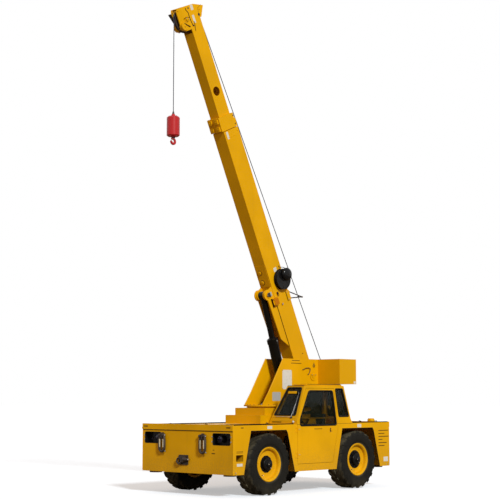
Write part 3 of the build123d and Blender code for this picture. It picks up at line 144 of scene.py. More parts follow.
class CraneColours(bpy.types.PropertyGroup):
    body: bpy.props.FloatVectorProperty(
        name="Body paint", description="Yellow of the frame, cab and boom", subtype="COLOR",
        default=(0.82, 0.42, 0.001), min=0, max=1)
    hook: bpy.props.FloatVectorProperty(
        name="Hook paint", description="Red of the hook and its weight", subtype="COLOR",
        default=(0.52, 0.008, 0.012), min=0, max=1)
    rubber: bpy.props.FloatVectorProperty(
        name="Tyre rubber", description="Clean rubber of the tyres", subtype="COLOR",
        default=(0.0095, 0.009, 0.008), min=0, max=1)
    dust: bpy.props.FloatVectorProperty(
        name="Dust", description="Dry dirt that gathers low down and on ledges", subtype="COLOR",
        default=(0.12, 0.105, 0.07), min=0, max=1)
    wear: bpy.props.FloatProperty(
        name="Wear", description="How far paint is rubbed off edges", subtype="FACTOR",
        default=0.5, min=0, max=1)


class CraneStage(bpy.types.PropertyGroup):
    key: bpy.props.FloatProperty(
        name="Key light", description="Strength of the soft key light", default=2.7, min=0)
    fill: bpy.props.FloatProperty(
        name="Room light", description="Strength of the light from all round", default=0.4, min=0)


# Shader building

class Socket:
    """A shader output that takes plain arithmetic."""

    def __init__(self, recipe, link):
        self.recipe = recipe
        self.link = link

    def maths(self, operation, *others, clamp=False):
        """One Math node on this value."""
        settings = {"operation": operation, "use_clamp": clamp}
        return self.recipe.node("ShaderNodeMath", settings, (self, *others))

    def __add__(self, other):
        return self.maths("ADD", other)

    def __radd__(self, other):
        return self.maths("ADD", other)

    def __sub__(self, other):
        return self.maths("SUBTRACT", other)

    def __rsub__(self, other):
        return self.recipe.node("ShaderNodeMath", {"operation": "SUBTRACT"}, (other, self))

    def __mul__(self, other):
        return self.maths("MULTIPLY", other)

    def __rmul__(self, other):
        return self.maths("MULTIPLY", other)

    def __pow__(self, other):
        return self.maths("POWER", other)

    def __gt__(self, other):
        return self.maths("GREATER_THAN", other)

    def __lt__(self, other):
        return self.maths("LESS_THAN", other)

    def between(self, low, high):
        """0 below low, 1 above high, smooth between."""
        settings = {"interpolation_type": "SMOOTHSTEP"}
        return self.recipe.node("ShaderNodeMapRange", settings, {0: self, 1: low, 2: high, 3: 0.0, 4: 1.0})

    def clamp(self):
        return self.maths("ADD", 0.0, clamp=True)


class Recipe:
    """A material's or world's node tree, built by one method for every kind of node."""

    def __init__(self, name, world=None):
        self.material = world or bpy.data.materials.new(name)
        self.material.use_nodes = True
        self.tree = self.material.node_tree
        self.tree.nodes.clear()
        self._place = None

    def node(self, kind, settings=None, values=(), output=0):
        """Add a node: its settings first, then values or links for its sockets."""
        made = self.tree.nodes.new(kind)
        for key, value in (settings or {}).items():
            if key == "stops":
                ramp = made.color_ramp
                while len(ramp.elements) < len(value):
                    ramp.elements.new(0.5)
                for element, (position, colour) in zip(ramp.elements, value):
                    element.position = position
                    element.color = (*colour, 1.0)
            else:
                setattr(made, key, value)
        pairs = values.items() if isinstance(values, dict) else enumerate(values)
        for key, value in pairs:
            socket = made.inputs[key]
            if isinstance(value, Socket):
                self.tree.links.new(value.link, socket)
            elif socket.type == "RGBA" and len(value) == 3:
                socket.default_value = (*value, 1.0)
            else:
                socket.default_value = value
        return Socket(self, made.outputs[output]) if made.outputs else made

    @property
    def place(self):
        """Object coordinates, which are the crane's own."""
        if self._place is None:
            self._place = self.node("ShaderNodeTexCoord", output=3)
        return self._place

    def axes(self):
        made = self.node("ShaderNodeSeparateXYZ", None, (self.place,))
        split = made.link.node
        return [Socket(self, split.outputs[i]) for i in range(3)]

    def stretched(self, scale):
        """The place multiplied by a vector, for streaks."""
        return self.node("ShaderNodeVectorMath", {"operation": "MULTIPLY"}, (self.place, scale))

    def noise(self, scale, detail=4.0, rough=0.55, where=None):
        values = {"Vector": where or self.place, "Scale": scale, "Detail": detail, "Roughness": rough}
        return self.node("ShaderNodeTexNoise", None, values)

    def mix(self, factor, a, b, blend="MIX"):
        """Mix two colours."""
        settings = {"data_type": "RGBA", "blend_type": blend, "clamp_factor": True}
        made = self.node("ShaderNodeMix", settings, {0: factor, 6: a, 7: b})
        return Socket(self, made.link.node.outputs[2])

    def rays(self, *names):
        """1 for the kinds of ray that are named."""
        outputs = self.node("ShaderNodeLightPath").link.node.outputs
        seen = Socket(self, outputs[names[0]])
        for name in names[1:]:
            seen = seen.maths("MAXIMUM", Socket(self, outputs[name]))
        return seen

    def upward(self):
        """Up part of the surface's direction: 1 on top, -1 below."""
        facing = self.node("ShaderNodeNewGeometry", output=1)
        made = self.node("ShaderNodeSeparateXYZ", None, (facing,))
        return Socket(self, made.link.node.outputs[2])

    def edges(self, radius):
        """1 on a sharp edge, 0 on a flat."""
        soft = self.node("ShaderNodeBevel", {"samples": 4}, {"Radius": radius})
        flat = self.node("ShaderNodeNewGeometry", output=1)
        made = self.node("ShaderNodeVectorMath", {"operation": "DOT_PRODUCT"}, (soft, flat))
        same = Socket(self, made.link.node.outputs[1])
        return (1.0 - same).between(0.01, 0.12)

    def finish(self, bump=None, strength=0.2, distance=0.001, **values):
        """The Principled shader and the output; values name its sockets, with _ for a space."""
        sockets = {key.replace("_", " "): value for key, value in values.items()}
        if bump is not None:
            sockets["Normal"] = self.node(
                "ShaderNodeBump", None, {"Strength": strength, "Distance": distance, "Height": bump})
        shader = self.node("ShaderNodeBsdfPrincipled", None, sockets)
        self.node("ShaderNodeOutputMaterial", None, (shader,))
        return self.material


FINISHES = {}


def colours():
    return bpy.context.scene.crane_colours


def sizes():
    return bpy.context.scene.crane_sizes


def dust_tone():
    return tuple(colours().dust)


def shade(colour, share):
    return tuple(c * share for c in colour)


def body_tone(share=1.0):
    return shade(colours().body, share)


def finish_of(name):
    """A finish by name, made on first use."""
    if name not in FINISHES:
        FINISHES[name] = MAKERS[name](name)
    return FINISHES[name]


def painted(name, colour, gloss=0.3, dirt=1.0, shine=0.1):
    """Sprayed enamel: cloudy tone, run marks, rubbed edges, dust low down and on ledges."""
    r = Recipe(name)
    z = r.axes()[2]
    cloud = r.noise(0.9, 3.0)
    grain = r.noise(38.0, 5.0, 0.65)
    runs = r.noise(1.0, 5.0, 0.6, r.stretched((9.0, 9.0, 0.7)))
    wear = r.edges(0.007) * r.noise(14.0, 4.0, 0.7).between(0.5, 0.62) * colours().wear
    low = 1.0 - z.between(0.35, 1.05)
    ledge = r.upward().between(0.6, 0.95)
    dust = (low * 0.34 + ledge * 0.22) * grain.between(0.3, 0.75) * dirt
    streak = runs.between(0.56, 0.78) * 0.2 * dirt
    deep = shade(colour, 0.86)
    tone = r.mix(cloud.between(0.35, 0.68), deep, colour)
    tone = r.mix(streak, tone, shade(colour, 0.55))
    tone = r.mix(dust, tone, dust_tone())
    tone = r.mix(wear, tone, (0.105, 0.06, 0.03))
    rough = gloss + grain * 0.1 + dust * 0.8 + wear * 0.3
    skin = r.noise(180.0, 2.0)
    return r.finish(
        bump=skin + grain * 0.6, strength=0.1, distance=0.0008, Base_Color=tone, Roughness=rough,
        Specular_IOR_Level=shine)


def steel(name, colour, rough=0.38, rust=0.35, metal=0.9):
    """Bare or blacked steel with rust freckles and oil."""
    r = Recipe(name)
    freckle = r.noise(65.0, 6.0, 0.7).between(0.6 - 0.1 * rust, 0.74)
    smear = r.noise(9.0, 3.0)
    tone = r.mix(smear.between(0.35, 0.7), colour, shade(colour, 0.6))
    tone = r.mix(freckle * rust, tone, (0.13, 0.048, 0.018))
    return r.finish(
        bump=r.noise(140.0, 5.0, 0.7), strength=0.25, distance=0.0008, Base_Color=tone,
        Roughness=rough + smear * 0.2 + freckle * 0.25, Metallic=metal * (1.0 - freckle * rust))


def chrome(name):
    """Hard chrome of a cylinder rod, with a film of oil."""
    r = Recipe(name)
    film = r.noise(24.0, 4.0, 0.6, r.stretched((1.0, 1.0, 0.15)))
    tone = r.mix(film.between(0.4, 0.75), (0.62, 0.63, 0.65), (0.3, 0.29, 0.27))
    return r.finish(
        bump=r.noise(260.0, 2.0), strength=0.04, distance=0.0003, Base_Color=tone, Metallic=1.0,
        Roughness=0.1 + film * 0.16)


def tyre_rubber(name):
    """Moulded rubber, dusty brown on the tread and clean on the sidewall."""
    r = Recipe(name)
    y, z = r.axes()[1:]
    grain = r.noise(60.0, 6.0, 0.7)
    cloud = r.noise(5.0, 4.0, 0.6)
    low = 1.0 - z.between(0.02, 0.3)
    side = (y.maths("ABSOLUTE") - WHEEL_Y).maths("ABSOLUTE")
    crown = 1.0 - side.between(0.165, 0.192)
    dust = (crown * 0.85 + 0.03 + low * 0.2) * (cloud.between(0.3, 0.68) * 0.75 + grain * 0.35)
    tone = r.mix(dust.clamp(), tuple(colours().rubber), dust_tone())
    return r.finish(
        bump=grain + cloud * 0.4, strength=0.35, distance=0.0015, Base_Color=tone,
        Roughness=0.62 + dust * 0.3, Specular_IOR_Level=0.1)


def glass(name):
    """Tinted safety glass with a light film of dust; the inner and rear panes are nearly opaque, which paints
    shade into the cab seen through the other panes.
    """
    r = Recipe(name)
    x, y, z = r.axes()
    film = r.noise(6.0, 5.0, 0.65).between(0.42, 0.75)
    # The inner and rear panes are made nearly opaque: painted shade that darkens the view through the cab.
    inner = (y - 0.49 - (z - 1.307) * 0.4065) < 0.055
    rear = (x - (MID - 1.04) - (z - 1.393) * 0.3344) < 0.055
    far_pane_shade = inner.maths("MAXIMUM", rear)
    tone = r.mix(film * 0.4, (0.003, 0.007, 0.004), (0.022, 0.03, 0.018))
    return r.finish(
        Base_Color=tone, Roughness=0.02 + film * 0.1, Alpha=0.4 + film * 0.1 + far_pane_shade * 0.48,
        Specular_IOR_Level=0.22)


def rubber(name, colour=(0.006, 0.006, 0.006), rough=0.55):
    """Extruded rubber or hose cover."""
    r = Recipe(name)
    grain = r.noise(90.0, 4.0, 0.6)
    dust = r.noise(4.0, 4.0).between(0.5, 0.75) * 0.2
    tone = r.mix(dust, colour, dust_tone())
    return r.finish(
        bump=grain, strength=0.25, distance=0.0008, Base_Color=tone, Roughness=rough + grain * 0.15,
        Specular_IOR_Level=0.1)


def vinyl(name):
    """Black seat vinyl with a leather grain and rubbed crests."""
    r = Recipe(name)
    cells = r.node("ShaderNodeTexVoronoi", None, {"Vector": r.place, "Scale": 420.0})
    creases = r.noise(22.0, 4.0, 0.65)
    rub = creases.between(0.55, 0.75)
    tone = r.mix(rub * 0.5, (0.016, 0.016, 0.018), (0.05, 0.048, 0.045))
    return r.finish(
        bump=cells * 0.6 + creases, strength=0.35, distance=0.0012, Base_Color=tone,
        Roughness=0.42 + rub * 0.15, Coat_Weight=0.1)


def moulded(name):
    """Moulded plastic with a fine spark texture."""
    r = Recipe(name)
    colour = (0.02, 0.02, 0.021)
    spark = r.noise(520.0, 3.0, 0.7)
    haze = r.noise(7.0, 3.0)
    tone = r.mix(haze.between(0.4, 0.7) * 0.5, colour, shade(colour, 2.1))
    return r.finish(
        bump=spark, strength=0.3, distance=0.0006, Base_Color=tone, Roughness=0.5 + haze * 0.15,
        Specular_IOR_Level=0.15)


def cast_iron(name):
    """Painted castings of the engine, oily and dusty."""
    r = Recipe(name)
    sand = r.noise(210.0, 4.0, 0.7)
    oil = r.noise(5.0, 5.0, 0.65)
    tone = r.mix(oil.between(0.45, 0.7), (0.105, 0.11, 0.115), (0.03, 0.026, 0.02))
    return r.finish(
        bump=sand + oil, strength=0.5, distance=0.0012, Base_Color=tone, Roughness=0.65 - oil * 0.2,
        Metallic=0.2)


def wire(name):
    """Greased wire rope."""
    r = Recipe(name)
    lay = r.noise(300.0, 3.0)
    grease = r.noise(16.0, 4.0)
    tone = r.mix(grease.between(0.35, 0.7), (0.05, 0.052, 0.075), (0.014, 0.014, 0.02))
    return r.finish(
        bump=lay, strength=0.4, distance=0.0006, Base_Color=tone, Roughness=0.36 + grease * 0.2,
        Metallic=0.3)


def grit(name):
    """Black non-skid sheet with grit in it."""
    r = Recipe(name)
    grains = r.node("ShaderNodeTexVoronoi", None, {"Vector": r.place, "Scale": 260.0})
    wear = r.noise(8.0, 5.0, 0.6).between(0.55, 0.75)
    tone = r.mix(wear * 0.25, (0.006, 0.006, 0.006), (0.05, 0.044, 0.034))
    return r.finish(
        bump=grains, strength=0.7, distance=0.0015, Base_Color=tone, Roughness=0.95 - grains * 0.1,
        Specular_IOR_Level=0.03)


def sticker(name, colour=(0.7, 0.69, 0.66), soiling=0.35):
    """Blank vinyl label, a little soiled."""
    r = Recipe(name)
    soil = r.noise(30.0, 5.0, 0.7).between(0.52, 0.75)
    tone = r.mix(soil * soiling, colour, dust_tone())
    return r.finish(
        bump=r.noise(80.0, 2.0), strength=0.05, distance=0.0004, Base_Color=tone, Roughness=0.34 + soil * 0.2,
        Specular_IOR_Level=0.12)


def lens(name, colour=(0.8, 0.82, 0.9), alpha=0.45):
    """Pressed lamp lens with flutes."""
    r = Recipe(name)
    flute = (r.axes()[1] * 620.0).maths("SINE")
    haze = r.noise(14.0, 3.0).between(0.45, 0.8)
    tone = r.mix(haze * 0.3, colour, (0.45, 0.43, 0.38))
    return r.finish(
        bump=flute, strength=0.5, distance=0.0015, Base_Color=tone, Roughness=0.05 + haze * 0.1,
        Alpha=alpha, Specular_IOR_Level=0.3)


MAKERS = {
    "machine_paint": lambda n: painted(n, body_tone()),
    "hood_paint": lambda n: painted(n, body_tone(), 0.34),
    # Body yellow darkened to 0.7 for the frame inside the chassis: painted shade, with more dust and a
    # rougher coat.
    "inner_paint": lambda n: painted(n, body_tone(0.7), 0.5, 1.2),
    "black_paint": lambda n: painted(n, (0.006, 0.006, 0.007), 0.16, 0.12, 0.16),
    "cylinder_paint": lambda n: painted(n, (0.004, 0.0035, 0.003), 0.12, 0.04, 0.18),
    "hook_paint": lambda n: painted(n, tuple(colours().hook), 0.22, 0.2, 0.4),
    "dark_steel": lambda n: steel(n, (0.05, 0.036, 0.03), 0.42, 0.6, 0.35),
    "bright_steel": lambda n: steel(n, (0.56, 0.56, 0.56), 0.3, 0.12, 1.0),
    # Pale steel that paints highlights on the shackle legs.
    "worn_steel": lambda n: steel(n, (0.62, 0.55, 0.4), 0.45, 0.2, 0.4),
    "zinc": lambda n: steel(n, (0.58, 0.55, 0.47), 0.34, 0.15, 1.0),
    "chrome_rod": chrome,
    "tyre_rubber": tyre_rubber,
    "cab_glass": glass,
    "seal_rubber": rubber,
    "hose_rubber": lambda n: rubber(n, (0.016, 0.016, 0.017), 0.42),
    "seat_vinyl": vinyl,
    # Black plastic; this finish also paints the shade inside a hole on the boom head.
    "black_plastic": moulded,
    "engine_grey": cast_iron,
    "wire_rope": wire,
    "grit": grit,
    "label_white": sticker,
    "label_grey": lambda n: sticker(n, (0.42, 0.43, 0.44)),
    # Dark brown for printed marks and lines, and for painted shadow: dark lines and slabs in gaps, under
    # ledges and in a hole.
    "label_brown": lambda n: sticker(n, (0.03, 0.007, 0.002), 0.06),
    "lamp_lens": lens,
    "lamp_dark": lambda n: lens(n, (0.006, 0.005, 0.03), 0.92),
    "shaded_paint": lambda n: painted(n, (0.52, 0.17, 0.002), 0.4, 0.6),
    "red_lens": lambda n: lens(n, (0.5, 0.012, 0.01), 0.85),
    "amber_lens": lambda n: lens(n, (0.8, 0.22, 0.01), 0.85),
}


# Mesh building

def placed(origin, *axes):
    """Matrix at origin with the given x, y and z directions."""
    return Matrix.Translation(Vector(origin)) @ Matrix(axes).transposed().to_4x4()


def facing(origin, normal, across=None):
    """Matrix at origin whose z runs along normal, and whose x runs near across."""
    n = Vector(normal).normalized()
    hint = Vector(across) if across is not None else Vector(UP)
    if abs(hint.normalized().dot(n)) > 0.99:
        hint = Vector(FORE)
    x_axis = (hint - n * hint.dot(n)).normalized()
    return placed(origin, x_axis, n.cross(x_axis), n)


def at(x, y, z):
    return Matrix.Translation((x, y, z))


def spin(angle, axis="Z"):
    return Matrix.Rotation(angle, 4, axis)


def around(place, count, radius, start=0.5, height=0.0):
    """Even places on a circle about place's z; start shifts them by a part of a step."""
    for k in range(count):
        angle = tau * (k + start) / count
        yield place @ Vector((radius * cos(angle), radius * sin(angle), height))


def upright(centre, y=0.0):
    """Place in the upright plane along the machine, y to the left of a centre on its middle."""
    return Matrix(((1, 0, 0, centre.x), (0, 0, 1, y), (0, 1, 0, centre.z), (0, 0, 0, 1)))


def disc(radius, height, bore=0):
    """Section of a plain disc, or of a washer with a bore."""
    return [(bore, 0), (radius, 0), (radius, height), (bore, height)]


def button(radius, rim, top, height):
    """Section of a disc whose edge is rim high and whose face is narrowed to top."""
    return [(0, 0), (radius, 0), (radius, rim), (top, height), (0, height)]


def ring_at(place, radius, count):
    """Points of a closed ring about place's z."""
    return list(around(place, count, radius, 0))


def anticlockwise(points):
    """The outline's points, in the order that has its inside on the left."""
    pts = [Vector(p) for p in points]
    area = sum(a.x * b.y - b.x * a.y for a, b in zip(pts, pts[1:] + pts[:1]))
    return pts[::-1] if area < 0 else pts


def quads(rows, columns, rows_close=False, columns_close=True):
    """Faces between neighbouring points of a grid, numbered row after row."""
    faces = []
    for i in range(rows if rows_close else rows - 1):
        j = (i + 1) % rows
        for k in range(columns if columns_close else columns - 1):
            m = (k + 1) % columns
            faces.append((i * columns + k, i * columns + m, j * columns + m, j * columns + k))
    return faces


def inset(points, distance):
    """Closed outline moved inwards by distance, mitred; points run anticlockwise."""
    count = len(points)
    moved = []
    for i in range(count):
        a = Vector(points[i - 1])
        b = Vector(points[i])
        c = Vector(points[(i + 1) % count])
        before = (b - a).normalized()
        after = (c - b).normalized()
        left = Vector((-before.y, before.x)) + Vector((-after.y, after.x))
        scale = distance / max(0.3, 1 + before.dot(after))
        moved.append(b + left * scale)
    return moved


def rounded(points, radius, steps=4):
    """Closed outline with its corners rounded."""
    result = []
    count = len(points)
    for i in range(count):
        a = Vector(points[i - 1])
        b = Vector(points[i])
        c = Vector(points[(i + 1) % count])
        r = min(radius, (a - b).length * 0.45, (c - b).length * 0.45)
        start = b + (a - b).normalized() * r
        end = b + (c - b).normalized() * r
        for k in range(steps + 1):
            t = k / steps
            result.append(start * (1 - t) ** 2 + b * (2 * t * (1 - t)) + end * t ** 2)
    return result


def smooth_path(points, steps=6):
    """Points of a smooth curve through the given ones."""
    pts = [Vector(p) for p in points]
    pts = [pts[0] * 2 - pts[1], *pts, pts[-1] * 2 - pts[-2]]
    result = []
    for a, b, c, d in zip(pts, pts[1:], pts[2:], pts[3:]):
        for k in range(steps):
            t = k / steps
            bend, twist = a * 2 - b * 5 + c * 4 - d, b * 3 - a - c * 3 + d
            result.append((b * 2 + (c - a) * t + bend * t ** 2 + twist * t ** 3) / 2)
    result.append(pts[-2])
    return result


class Form:
    """One piece under construction: shapes are added, then it becomes an object."""

    def __init__(self):
        self.points = []
        self.faces = []
        self.marks = []
        self.names = []
        self.use("machine_paint")

    def use(self, finish):
        """Choose the finish of what is added next."""
        if finish not in self.names:
            self.names.append(finish)
        self.mark = self.names.index(finish)
        return self

    def add(self, points, faces, place=None):
        start = len(self.points)
        if place is not None:
            points = [place @ Vector(p) for p in points]
        self.points.extend(tuple(p) for p in points)
        self.faces.extend(tuple(start + i for i in face) for face in faces)
        self.marks.extend([self.mark] * len(faces))
        return self

    def slab(self, size, place, soft=0.003):
        """Box with chamfered edges, centred on place."""
        hx, hy, hz = (v / 2 for v in size)
        c = min(soft, hx * 0.8, hy * 0.8, hz * 0.8)
        points = []
        index = {}
        for sx in (-1, 1):
            for sy in (-1, 1):
                for sz in (-1, 1):
                    for axis in range(3):
                        p = [sx * (hx - c), sy * (hy - c), sz * (hz - c)]
                        p[axis] += c * (sx, sy, sz)[axis]
                        index[(sx, sy, sz, axis)] = len(points)
                        points.append(p)
        faces = []
        order = ((-1, -1), (1, -1), (1, 1), (-1, 1))
        for axis in range(3):
            for sign in (-1, 1):
                face = []
                for a, b in order:
                    key = [0, 0, 0]
                    key[axis] = sign
                    key[(axis + 1) % 3] = a
                    key[(axis + 2) % 3] = b
                    face.append(index[(*key, axis)])
                faces.append(face if sign > 0 else face[::-1])
        for axis in range(3):
            one, two = (axis + 1) % 3, (axis + 2) % 3
            for a, b in order:
                key = [0, 0, 0]
                key[one] = a
                key[two] = b
                low, high = list(key), list(key)
                low[axis], high[axis] = -1, 1
                face = [index[(*low, one)], index[(*low, two)], index[(*high, two)], index[(*high, one)]]
                faces.append(face if a * b > 0 else face[::-1])
        for sx in (-1, 1):
            for sy in (-1, 1):
                for sz in (-1, 1):
                    face = [index[(sx, sy, sz, axis)] for axis in range(3)]
                    faces.append(face if sx * sy * sz > 0 else face[::-1])
        return self.add(points, faces, place)

    def plate(self, points, depth, place, soft=0.002):
        """Outline in place's x and y, extruded by depth along its z, with chamfered rims."""
        pts = anticlockwise(points)
        c = min(soft, depth * 0.4)
        small = inset(pts, c)
        rings = [(small, 0.0), (pts, c), (pts, depth - c), (small, depth)]
        n = len(pts)
        verts = [(p.x, p.y, z) for ring, z in rings for p in ring]
        ends = [tuple(reversed(range(n))), tuple(range(3 * n, 4 * n))]
        return self.add(verts, ends + quads(4, n), place)

    def turned(self, profile, place, steps=32, arc=1.0):
        """Outline of (radius, z) turned about place's z."""
        points = []
        faces = []
        rings = []
        full = arc >= 1.0
        count = steps if full else steps + 1
        for radius, z in profile:
            if radius <= 1e-7:
                rings.append([len(points)] * count)
                points.append((0, 0, z))
                continue
            rings.append(list(range(len(points), len(points) + count)))
            for k in range(count):
                angle = tau * arc * k / steps
                points.append((radius * cos(angle), radius * sin(angle), z))
        for low, high in zip(rings, rings[1:]):
            for k in range(steps):
                m = (k + 1) % count
                face = []
                for i in (low[k], low[m], high[m], high[k]):
                    if i not in face:
                        face.append(i)
                if len(face) > 2:
                    faces.append(tuple(face))
        return self.add(points, faces, place)

    def rod(self, start, end, radius, sides=16, soft=0.15):
        """Round bar between two points, with its ends eased."""
        a, b = Vector(start), Vector(end)
        length = (b - a).length
        c = radius * soft
        small = radius - c
        profile = [(0, 0), (small, 0), (radius, c), (radius, length - c), (small, length), (0, length)]
        return self.turned(profile, facing(a, b - a), sides)

    def pipe(self, path, radius, sides=10, closed=False):
        """Tube that follows a list of points."""
        pts = [Vector(p) for p in path]
        count = len(pts)
        ahead = [(pts[(i + 1) % count] - pts[i]).normalized() for i in range(count - (0 if closed else 1))]
        if closed:
            along = [(ahead[i - 1] + ahead[i]).normalized() for i in range(count)]
        else:
            along = [ahead[0]]
            along += [(a + b).normalized() for a, b in zip(ahead, ahead[1:])]
            along.append(ahead[-1])
        side = facing((0, 0, 0), along[0]).to_3x3().col[0].copy()
        verts = []
        for p, t in zip(pts, along):
            side = (side - t * side.dot(t)).normalized()
            other = t.cross(side)
            for k in range(sides):
                angle = tau * k / sides
                verts.append(p + (side * cos(angle) + other * sin(angle)) * radius)
        faces = quads(count, sides, closed)
        if not closed:
            faces.append(tuple(reversed(range(sides))))
            faces.append(tuple(range((count - 1) * sides, count * sides)))
        return self.add(verts, faces)

    def bolt(self, origin, normal, radius=0.01, washer=True):
        """Hexagon head with its washer, standing on a face."""
        place = facing(origin, normal)
        z = 0.0
        if washer:
            z = radius * 0.22
            self.turned([(0, 0), (radius * 1.45, 0), (radius * 1.45, z), (0, z)], place, 16)
        top = z + radius * 0.75
        profile = [(0, z), (radius, z), (radius, top - radius * 0.14), (radius * 0.84, top), (0, top)]
        return self.turned(profile, place, 6)

    def hose(self, route, radius):
        """Hose on a smooth curve through a few points."""
        return self.pipe(smooth_path(route), radius, 8)

    def weld(self, start, end, radius=0.004, ripple=0.012):
        """Weld bead along a straight seam."""
        a, b = Vector(start), Vector(end)
        count = max(3, int((b - a).length / ripple))
        path = [a.lerp(b, i / count) for i in range(count + 1)]
        sides = 6
        frame_at = facing((0, 0, 0), b - a).to_3x3()
        verts = []
        for i, p in enumerate(path):
            r = radius * (1.0 if i % 2 else 0.8)
            for k in range(sides):
                angle = tau * k / sides
                verts.append(p + (frame_at.col[0] * cos(angle) + frame_at.col[1] * sin(angle)) * r)
        return self.add(verts, quads(count + 1, sides))

    def strands(self, stations, radius, pitch, count=6):
        """Strands laid round a line; a station is its centre, two directions across and its run."""
        for s in range(count):
            path = []
            for centre, side, other, run in stations:
                angle = tau * (s / count + run / pitch)
                path.append(centre + (side * cos(angle) + other * sin(angle)) * radius * 0.66)
            self.pipe(path, radius * 0.36, 4)
        return self

    def rope(self, start, end, radius, pitch=0.1):
        """Laid wire rope between two points."""
        a, b = Vector(start), Vector(end)
        length = (b - a).length
        turn = facing((0, 0, 0), b - a).to_3x3()
        side, other = turn.col[0].copy(), turn.col[1].copy()
        steps = max(4, int(length / pitch * 10))
        stations = [(a.lerp(b, i / steps), side, other, length * i / steps) for i in range(steps + 1)]
        return self.strands(stations, radius, pitch)

    def moulding(self, points, profile, place):
        """Closed section of (distance inwards, height) swept round a closed outline."""
        pts = anticlockwise(points)
        verts = [(p.x, p.y, height) for distance, height in profile for p in inset(pts, distance)]
        return self.add(verts, quads(len(profile), len(pts), True), place)

    def label(self, origin, normal, size, across=FORE, thick=0.0008):
        """Blank sticker or thin plate with rounded corners."""
        outline = rounded(rect(*size), min(size) * 0.12, 2)
        return self.plate(outline, thick, facing(origin, normal, across), 0.0003)

    def laid(self, path, radius, pitch=0.1):
        """Laid wire rope that follows a path in the upright plane along the machine."""
        pts = [Vector(p) for p in path]
        reach = [0.0]
        for a, b in zip(pts, pts[1:]):
            reach.append(reach[-1] + (b - a).length)
        steps = int(reach[-1] / pitch * 10)
        side = Vector(LEFT)
        stations = []
        leg = 0
        for i in range(steps + 1):
            run = reach[-1] * i / steps
            while leg < len(pts) - 2 and run > reach[leg + 1]:
                leg += 1
            a, b = pts[leg], pts[leg + 1]
            spot = a.lerp(b, (run - reach[leg]) / (reach[leg + 1] - reach[leg]))
            stations.append((spot, side, (b - a).normalized().cross(side), run))
        return self.strands(stations, radius, pitch)

    def piece(self, name, body, slot=None, smooth=36, replaces=()):
        """Make the object, let it ride on a body and give it its finishes."""
        mesh = bpy.data.meshes.new(name)
        mesh.from_pydata(self.points, [], self.faces)
        mesh.polygons.foreach_set("material_index", self.marks)
        for finish in self.names:
            mesh.materials.append(finish_of(finish))
        mesh.validate()
        shape = bmesh.new()
        shape.from_mesh(mesh)
        bmesh.ops.recalc_face_normals(shape, faces=shape.faces)
        shape.to_mesh(mesh)
        shape.free()
        mesh.shade_smooth()
        mesh.set_sharp_from_angle(angle=radians(smooth))
        return settle(bpy.data.objects.new(name, mesh), body, replaces)


def settle(piece, body, replaces=()):
    """Link a piece, let it ride, and hide the parts that it replaces."""
    if piece.name not in bpy.context.scene.collection.objects:
        bpy.context.scene.collection.objects.link(piece)
    if body:
        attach(piece, body)
    if replaces:
        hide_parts(*replaces)
    return piece


# The pieces

NODES_OF_FINISH = {
    "machine_paint": "side_panels deck_plate front_bumper rear_bumper pedestal cab_shell cab_door side_tank "
                     "turret_frame counterweight boom_base boom_mid boom_tip",
    # The frame inside the chassis gets a darker copy of the body yellow, which is painted shade.
    "inner_paint": "main_frame",
    "hood_paint": "engine_hood",
    "black_paint": "front_axle rear_axle lamps reel_drum",
    "cylinder_paint": "lift_barrel lift_rod",
    "hook_paint": "hook_weight hook",
    "cab_glass": "cab_glass door_glass",
    "black_plastic": "seat_frame steering_wheel",
    "dark_steel": "tow_fittings winch_drum head_sheave",
    "engine_grey": "engine",
}
NODE_FINISH = {node: finish for finish, nodes in NODES_OF_FINISH.items() for node in nodes.split()}
for corner, axle_x, sign in CORNERS:
    NODE_FINISH["knuckle_" + corner] = "black_paint"
    NODE_FINISH["rim_" + corner] = "rim_front" if axle_x == FRONT_AXLE else "rim_rear"
    NODE_FINISH["outrigger_" + corner] = "machine_paint"
    NODE_FINISH["tyre_" + corner] = "tyre_rubber"


def rim_paint(name, axle_x, cap):
    """Body yellow on the rim, black on its hub."""
    r = Recipe(name)
    x, _, z = r.axes()
    radius = ((x - axle_x) ** 2.0 + (z - AXLE_Z) ** 2.0) ** 0.5
    hub = 1.0 - (radius > cap)
    grain = r.noise(34.0, 5.0, 0.65)
    dust = grain.between(0.4, 0.75) * 0.22
    yellow = r.mix(r.noise(3.0).between(0.3, 0.7), body_tone(0.85), body_tone())
    tone = r.mix(hub, yellow, (0.005, 0.005, 0.006))
    tone = r.mix(dust * (1.0 - hub * 0.8), tone, dust_tone())
    return r.finish(
        bump=grain, strength=0.12, distance=0.001, Base_Color=tone, Roughness=0.3 + dust * 0.9,
        Specular_IOR_Level=0.1)


MAKERS["rim_front"] = lambda n: rim_paint(n, FRONT_AXLE, 0.16)
MAKERS["rim_rear"] = lambda n: rim_paint(n, REAR_AXLE, 0.182)


# The camera, solved from the photograph's edges

LENS = 90.1
VIEW_FROM = (18.79 + MID, 17.16, 1.82)
VIEW_AZIMUTH = radians(46.65)
VIEW_PITCH = radians(6.71)


